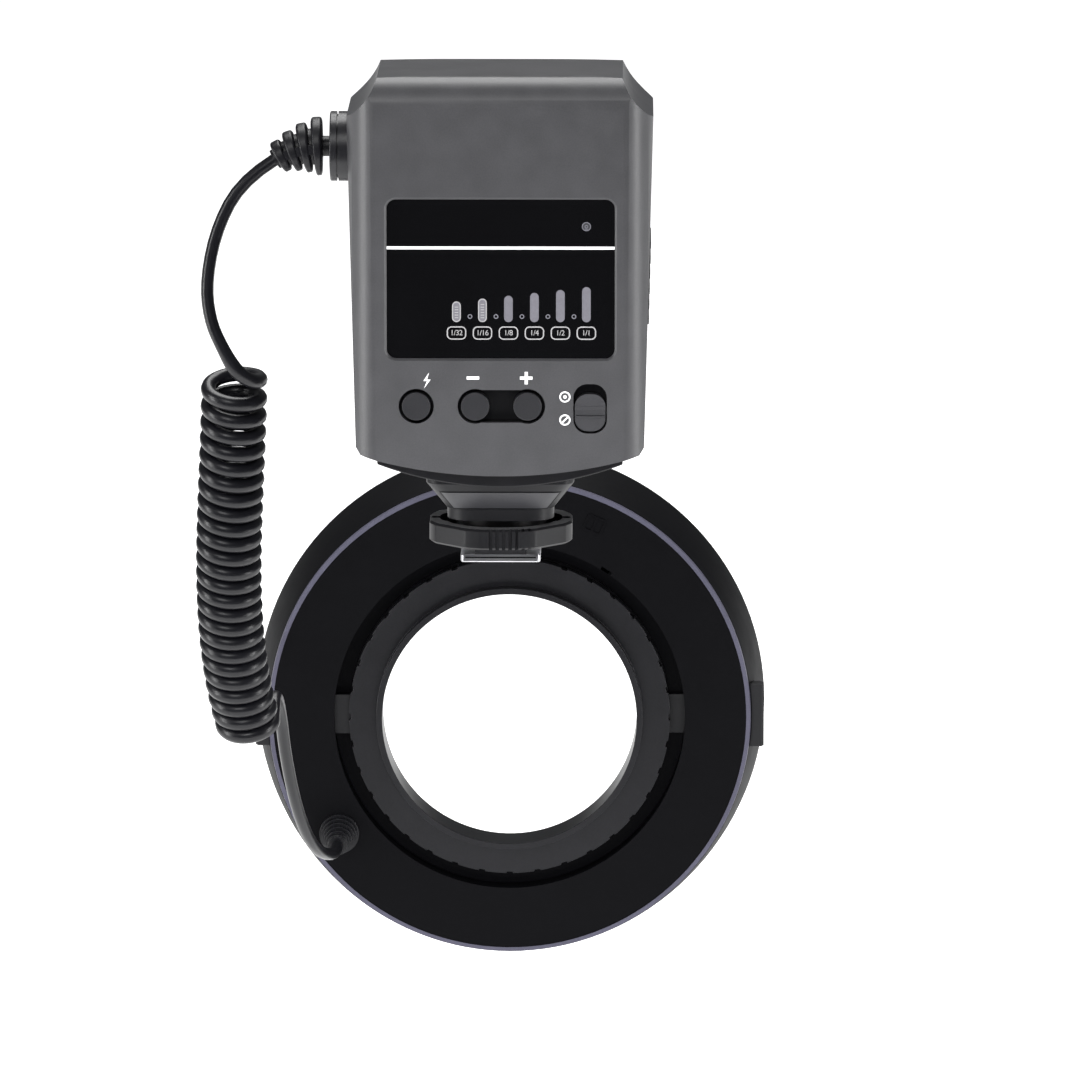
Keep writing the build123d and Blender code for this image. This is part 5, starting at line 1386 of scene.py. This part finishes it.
    def build(self) -> None:
        """Build the cord as one smooth curve and dress its strain reliefs."""
        refined("cord_collar", COLLAR_BLACK, self.collar_bevel)
        self.ribbed_boot()
        refined("head_boot", BOOT_RUBBER, self.head_boot_bevel)
        coil = self.coil_points()
        before = [Vector(self.boot_end), *(Vector(point) for point in self.upper_points)]
        after = [*(Vector(point) for point in self.lower_points), Vector(self.head_end)]
        points = [*before, *coil, *after]
        thick = self.coil_diameter * MM / self.diameter
        swells = [1.0] * (len(before) + 1) + [thick] * (len(coil) - 2) + [1.0] * (len(after) + 1)
        curve = bpy.data.curves.new("curly_cord", "CURVE")
        curve.dimensions = "3D"
        curve.bevel_depth = self.diameter / 2
        curve.bevel_resolution = self.wire_round_steps
        curve.resolution_u = self.wire_run_steps
        curve.use_fill_caps = True
        spline = curve.splines.new("NURBS")
        spline.points.add(len(points) - 1)
        for slot, point, swell in zip(spline.points, points, swells):
            slot.co = (*(point * MM), 1.0)
            slot.radius = swell
        spline.order_u = 3
        spline.use_endpoint_u = True
        cord = new_object("curly_cord", curve)
        curve.materials.append(CORD_RUBBER.material())
        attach(cord, Body.ROOT.value)
        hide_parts("cord_upper", "cord_coil", "cord_lower")
        LOG.info("curly_cord: %d points", len(points))


@dataclass
class RingHead:
    """The lamp head, its release latches and the adapter ring that they hold."""

    axis_z: float = -67.3 * MM
    ridge_count: int = 9
    ridge_height: float = 0.14 * MM
    ridge_width: float = 0.42 * MM
    ridge_inset: float = 1.2 * MM
    ridge_sink: float = 0.2 * MM
    ridge_end_angle: float = 1.2
    ridge_steps: int = 90
    ridge_smooth: float = 20.0
    diffuser_bevel: float = 0.1 * MM
    radius_digits: int = 4

    def crown(self, mesh: bpy.types.Mesh) -> tuple[float, float, list[Point2]]:
        """Measure a diffuser: its first and last angle, and its face across the band.

        Args:
            mesh: Merged mesh of the diffuser.

        Returns:
            The first and last angle above +X in degrees, and the radius and Y of the face's
            points in order outward.
        """
        corners = [corner.co for corner in mesh.vertices]
        middle = math.pi if sum(corner.x for corner in corners) < 0 else 0.0
        turns, face = [], {}
        for corner in corners:
            turn = math.atan2(corner.z - self.axis_z, corner.x) - middle
            turns.append((turn + math.pi) % math.tau - math.pi)
            radius = round(math.hypot(corner.x, corner.z - self.axis_z), self.radius_digits)
            face[radius] = max(face.get(radius, -1.0), corner.y)
        start = math.degrees(min(turns) + middle)
        return start, math.degrees(max(turns) + middle), sorted(face.items())

    def face_y(self, face: Sequence[Point2], radius: float) -> float:
        """Find the height of a diffuser's face.

        Args:
            face: Radius and Y of the face's points, in order outward.
            radius: Distance from the head's axis.

        Returns:
            The face's Y there.
        """
        for (near, first), (far, last) in zip(face, face[1:]):
            if near <= radius <= far:
                return first + (last - first) * (radius - near) / (far - near)
        return face[-1][1]

    def ridge(
        self, work: bmesh.types.BMesh, profile: Sequence[Point2], first: float, last: float
    ) -> None:
        """Turn a closed profile about the head's axis, through part of a turn.

        Args:
            work: Mesh that the ridge is added to.
            profile: Radius and Y of the profile's corners, in order round it.
            first: First angle above +X, in degrees.
            last: Last angle, in degrees.
        """
        rows = []
        for step in range(self.ridge_steps + 1):
            turn = math.radians(first + (last - first) * step / self.ridge_steps)
            rows.append([
                work.verts.new((r * math.cos(turn), y, self.axis_z + r * math.sin(turn)))
                for r, y in profile
            ])
        for row, after in zip(rows, rows[1:]):
            join_rims(work, after, row)
        work.faces.new(rows[0])
        work.faces.new(list(reversed(rows[-1])))

    def ridges(self, side: str) -> bpy.types.Object:
        """Add the fine round ridges on a diffuser's face.

        Args:
            side: Which diffuser, right or left.

        Returns:
            The ridges.
        """
        first, last, face = self.crown(node_copy(f"diffuser_{side}"))
        low, high = face[0][0] + self.ridge_inset, face[-1][0] - self.ridge_inset
        half = self.ridge_width / 2
        work = bmesh.new()
        for index in range(self.ridge_count):
            radius = low + (high - low) * (index + 0.5) / self.ridge_count
            inner, outer = self.face_y(face, radius - half), self.face_y(face, radius + half)
            base = min(inner, outer) - self.ridge_sink
            profile = [
                (radius - half, base),
                (radius + half, base),
                (radius + half, outer),
                (radius, self.face_y(face, radius) + self.ridge_height),
                (radius - half, inner),
            ]
            self.ridge(work, profile, first + self.ridge_end_angle, last - self.ridge_end_angle)
        name = f"diffuser_ridges_{side}"
        mesh = built(work, name)
        smooth(mesh, self.ridge_smooth)
        return add_piece(name, mesh, DIFFUSER_WHITE)

    def build(self) -> None:
        """Build and dress the head's pieces."""
        refine_all(HEAD_SHELL_SKINS)
        back = Matrix.Translation((0.0, -self.ridge_height, 0.0))
        for side in ("right", "left"):
            refined(f"diffuser_{side}", DIFFUSER_WHITE, self.diffuser_bevel).data.transform(back)
            self.ridges(side).data.transform(back)
        refine_all(HEAD_HELD_SKINS)


@dataclass(frozen=True)
class Lamp:
    """A rectangular lamp that faces the object. Its power is in watts."""

    name: str
    place: Point3
    size: Point2
    power: float
    in_gloss: bool = True

    def hang(self, aim: Point3) -> None:
        """Add the lamp to the scene.

        Args:
            aim: The point that it faces.
        """
        data = bpy.data.lights.new(self.name, "AREA")
        data.shape = "RECTANGLE"
        data.size, data.size_y = self.size
        data.energy = self.power
        made = new_object(self.name, data)
        made.location = self.place
        made.visible_camera = False
        made.visible_glossy = self.in_gloss
        made.rotation_mode = "QUATERNION"
        made.rotation_quaternion = (Vector(aim) - Vector(self.place)).to_track_quat("-Z", "Y")


@dataclass
class Studio:
    """Pale floor, white world, soft lamps and the camera at the photograph's viewpoint."""

    target: Point3 = (9.2 * MM, -9.0 * MM, 5.3 * MM)
    elevation: float = 10.6
    turn: float = 0.6
    distance: float = 2.0
    view_width: float = 252.18 * MM
    sensor: float = 36.0
    clip: tuple[float, float] = (0.05, 50.0)
    floor_z: float = -0.16
    floor_radius: float = 5.0
    floor_front: float = 0.3
    floor_sides: int = 96
    paper_color: tuple[float, ...] = (0.8, 0.8, 0.8, 1.0)
    paper_glow: float = 0.88
    soft_color: tuple[float, ...] = (0.9, 0.92, 0.95, 1.0)
    soft_strength: float = 0.11
    lamp_aim: Point3 = (0.0, 0.05, 0.02)
    lamps: tuple[Lamp, ...] = (
        Lamp("key_lamp", (-0.35, -1.3, 0.95), (0.6, 0.6), 8.0),
        Lamp("left_strip", (-1.15, -0.35, 0.15), (0.22, 1.1), 12.0),
        Lamp("right_strip", (1.15, -0.35, 0.15), (0.22, 1.1), 12.0),
        Lamp("top_lamp", (0.0, 0.36, 1.3), (1.2, 0.5), 17.0),
        Lamp("low_card", (0.0, -0.3, -0.03), (0.4, 0.06), 1.5, in_gloss=False),
        Lamp("subject_side_lamp", (0.0, 1.2, 1.5), (0.8, 0.6), 9.0),
    )

    def build(self) -> None:
        """Build the camera, the floor, the world and the lamps."""
        self.camera()
        self.floor()
        self.world()
        for lamp in self.lamps:
            lamp.hang(self.lamp_aim)
        bpy.context.scene.view_settings.view_transform = "Standard"

    def camera(self) -> None:
        """Place the camera."""
        data = bpy.data.cameras.new("photo_camera")
        made = new_object("photo_camera", data)
        rise, turn = math.radians(self.elevation), math.radians(self.turn)
        back = Vector((
            math.sin(turn) * math.cos(rise), -math.cos(turn) * math.cos(rise), math.sin(rise)
        ))
        made.location = Vector(self.target) + back * self.distance
        made.rotation_mode = "QUATERNION"
        made.rotation_quaternion = (-back).to_track_quat("-Z", "Y")
        data.sensor_width = self.sensor
        data.lens = self.sensor * self.distance / self.view_width
        data.clip_start, data.clip_end = self.clip
        bpy.context.scene.camera = made

    def floor(self) -> None:
        """Add the round floor, whose far part is the background."""
        work = bmesh.new()
        bmesh.ops.create_circle(
            work, cap_ends=True, segments=self.floor_sides, radius=self.floor_radius
        )
        for corner in work.verts:
            corner.co += Vector((0.0, self.floor_radius - self.floor_front, self.floor_z))
        mesh = built(work, "studio_floor", closed=False)
        made = new_object("studio_floor", mesh)
        mesh.materials.append(self.paper())

    def paper(self) -> bpy.types.Material:
        """Build the pale paper: near white to camera, gloss and glass, clear from below.

        Returns:
            The floor's material.
        """
        made = bpy.data.materials.new("studio_paper")
        tree = empty_tree(made)
        diffuse = add_node(tree, "ShaderNodeBsdfDiffuse", {"Color": self.paper_color})
        glow = add_node(tree, "ShaderNodeEmission", {"Strength": self.paper_glow})
        both = add_node(tree, "ShaderNodeAddShader", {0: diffuse.outputs[0], 1: glow.outputs[0]})
        mix = add_node(tree, "ShaderNodeMixShader", {
            "Fac": self.seen(tree), 1: diffuse.outputs[0], 2: both.outputs[0],
        })
        side = add_node(tree, "ShaderNodeNewGeometry")
        clear = add_node(tree, "ShaderNodeBsdfTransparent")
        whole = add_node(tree, "ShaderNodeMixShader", {
            "Fac": side.outputs["Backfacing"], 1: mix.outputs[0], 2: clear.outputs[0],
        })
        add_node(tree, "ShaderNodeOutputMaterial", {"Surface": whole.outputs[0]})
        return made

    def seen(self, tree: bpy.types.NodeTree) -> bpy.types.NodeSocket:
        """Tell the rays that should find white.

        Args:
            tree: Node tree of the floor's material.

        Returns:
            A socket that is 1 for camera, glossy and transmission rays.
        """
        path = add_node(tree, "ShaderNodeLightPath").outputs
        sharp = add_node(
            tree, "ShaderNodeMath", {0: path["Is Camera Ray"], 1: path["Is Glossy Ray"]}, "MAXIMUM"
        )
        return add_node(
            tree, "ShaderNodeMath", {0: sharp.outputs[0], 1: path["Is Transmission Ray"]}, "MAXIMUM"
        ).outputs[0]

    def world(self) -> None:
        """Light the scene softly from all round and show white to the camera."""
        world = bpy.data.worlds.new("studio_world")
        bpy.context.scene.world = world
        tree = empty_tree(world)
        soft = add_node(tree, "ShaderNodeBackground", {
            "Color": self.soft_color, "Strength": self.soft_strength,
        })
        white = add_node(tree, "ShaderNodeBackground", {"Color": (1.0, 1.0, 1.0, 1.0), "Strength": 1.0})
        path = add_node(tree, "ShaderNodeLightPath")
        mix = add_node(tree, "ShaderNodeMixShader", {
            "Fac": path.outputs["Is Camera Ray"], 1: soft.outputs[0], 2: white.outputs[0],
        })
        add_node(tree, "ShaderNodeOutputWorld", {"Surface": mix.outputs[0]})


def main() -> None:
    """Build the stage and every sub-assembly."""
    logging.basicConfig(level=logging.INFO, format="%(message)s")
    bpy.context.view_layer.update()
    Studio().build()
    CurlyCord().build()
    for node, finish in NODE_FINISHES.items():
        dress_node(node, finish)
    Controller().build()
    ShoeFoot().build()
    RingHead().build()


if __name__ == "__main__":
    main()
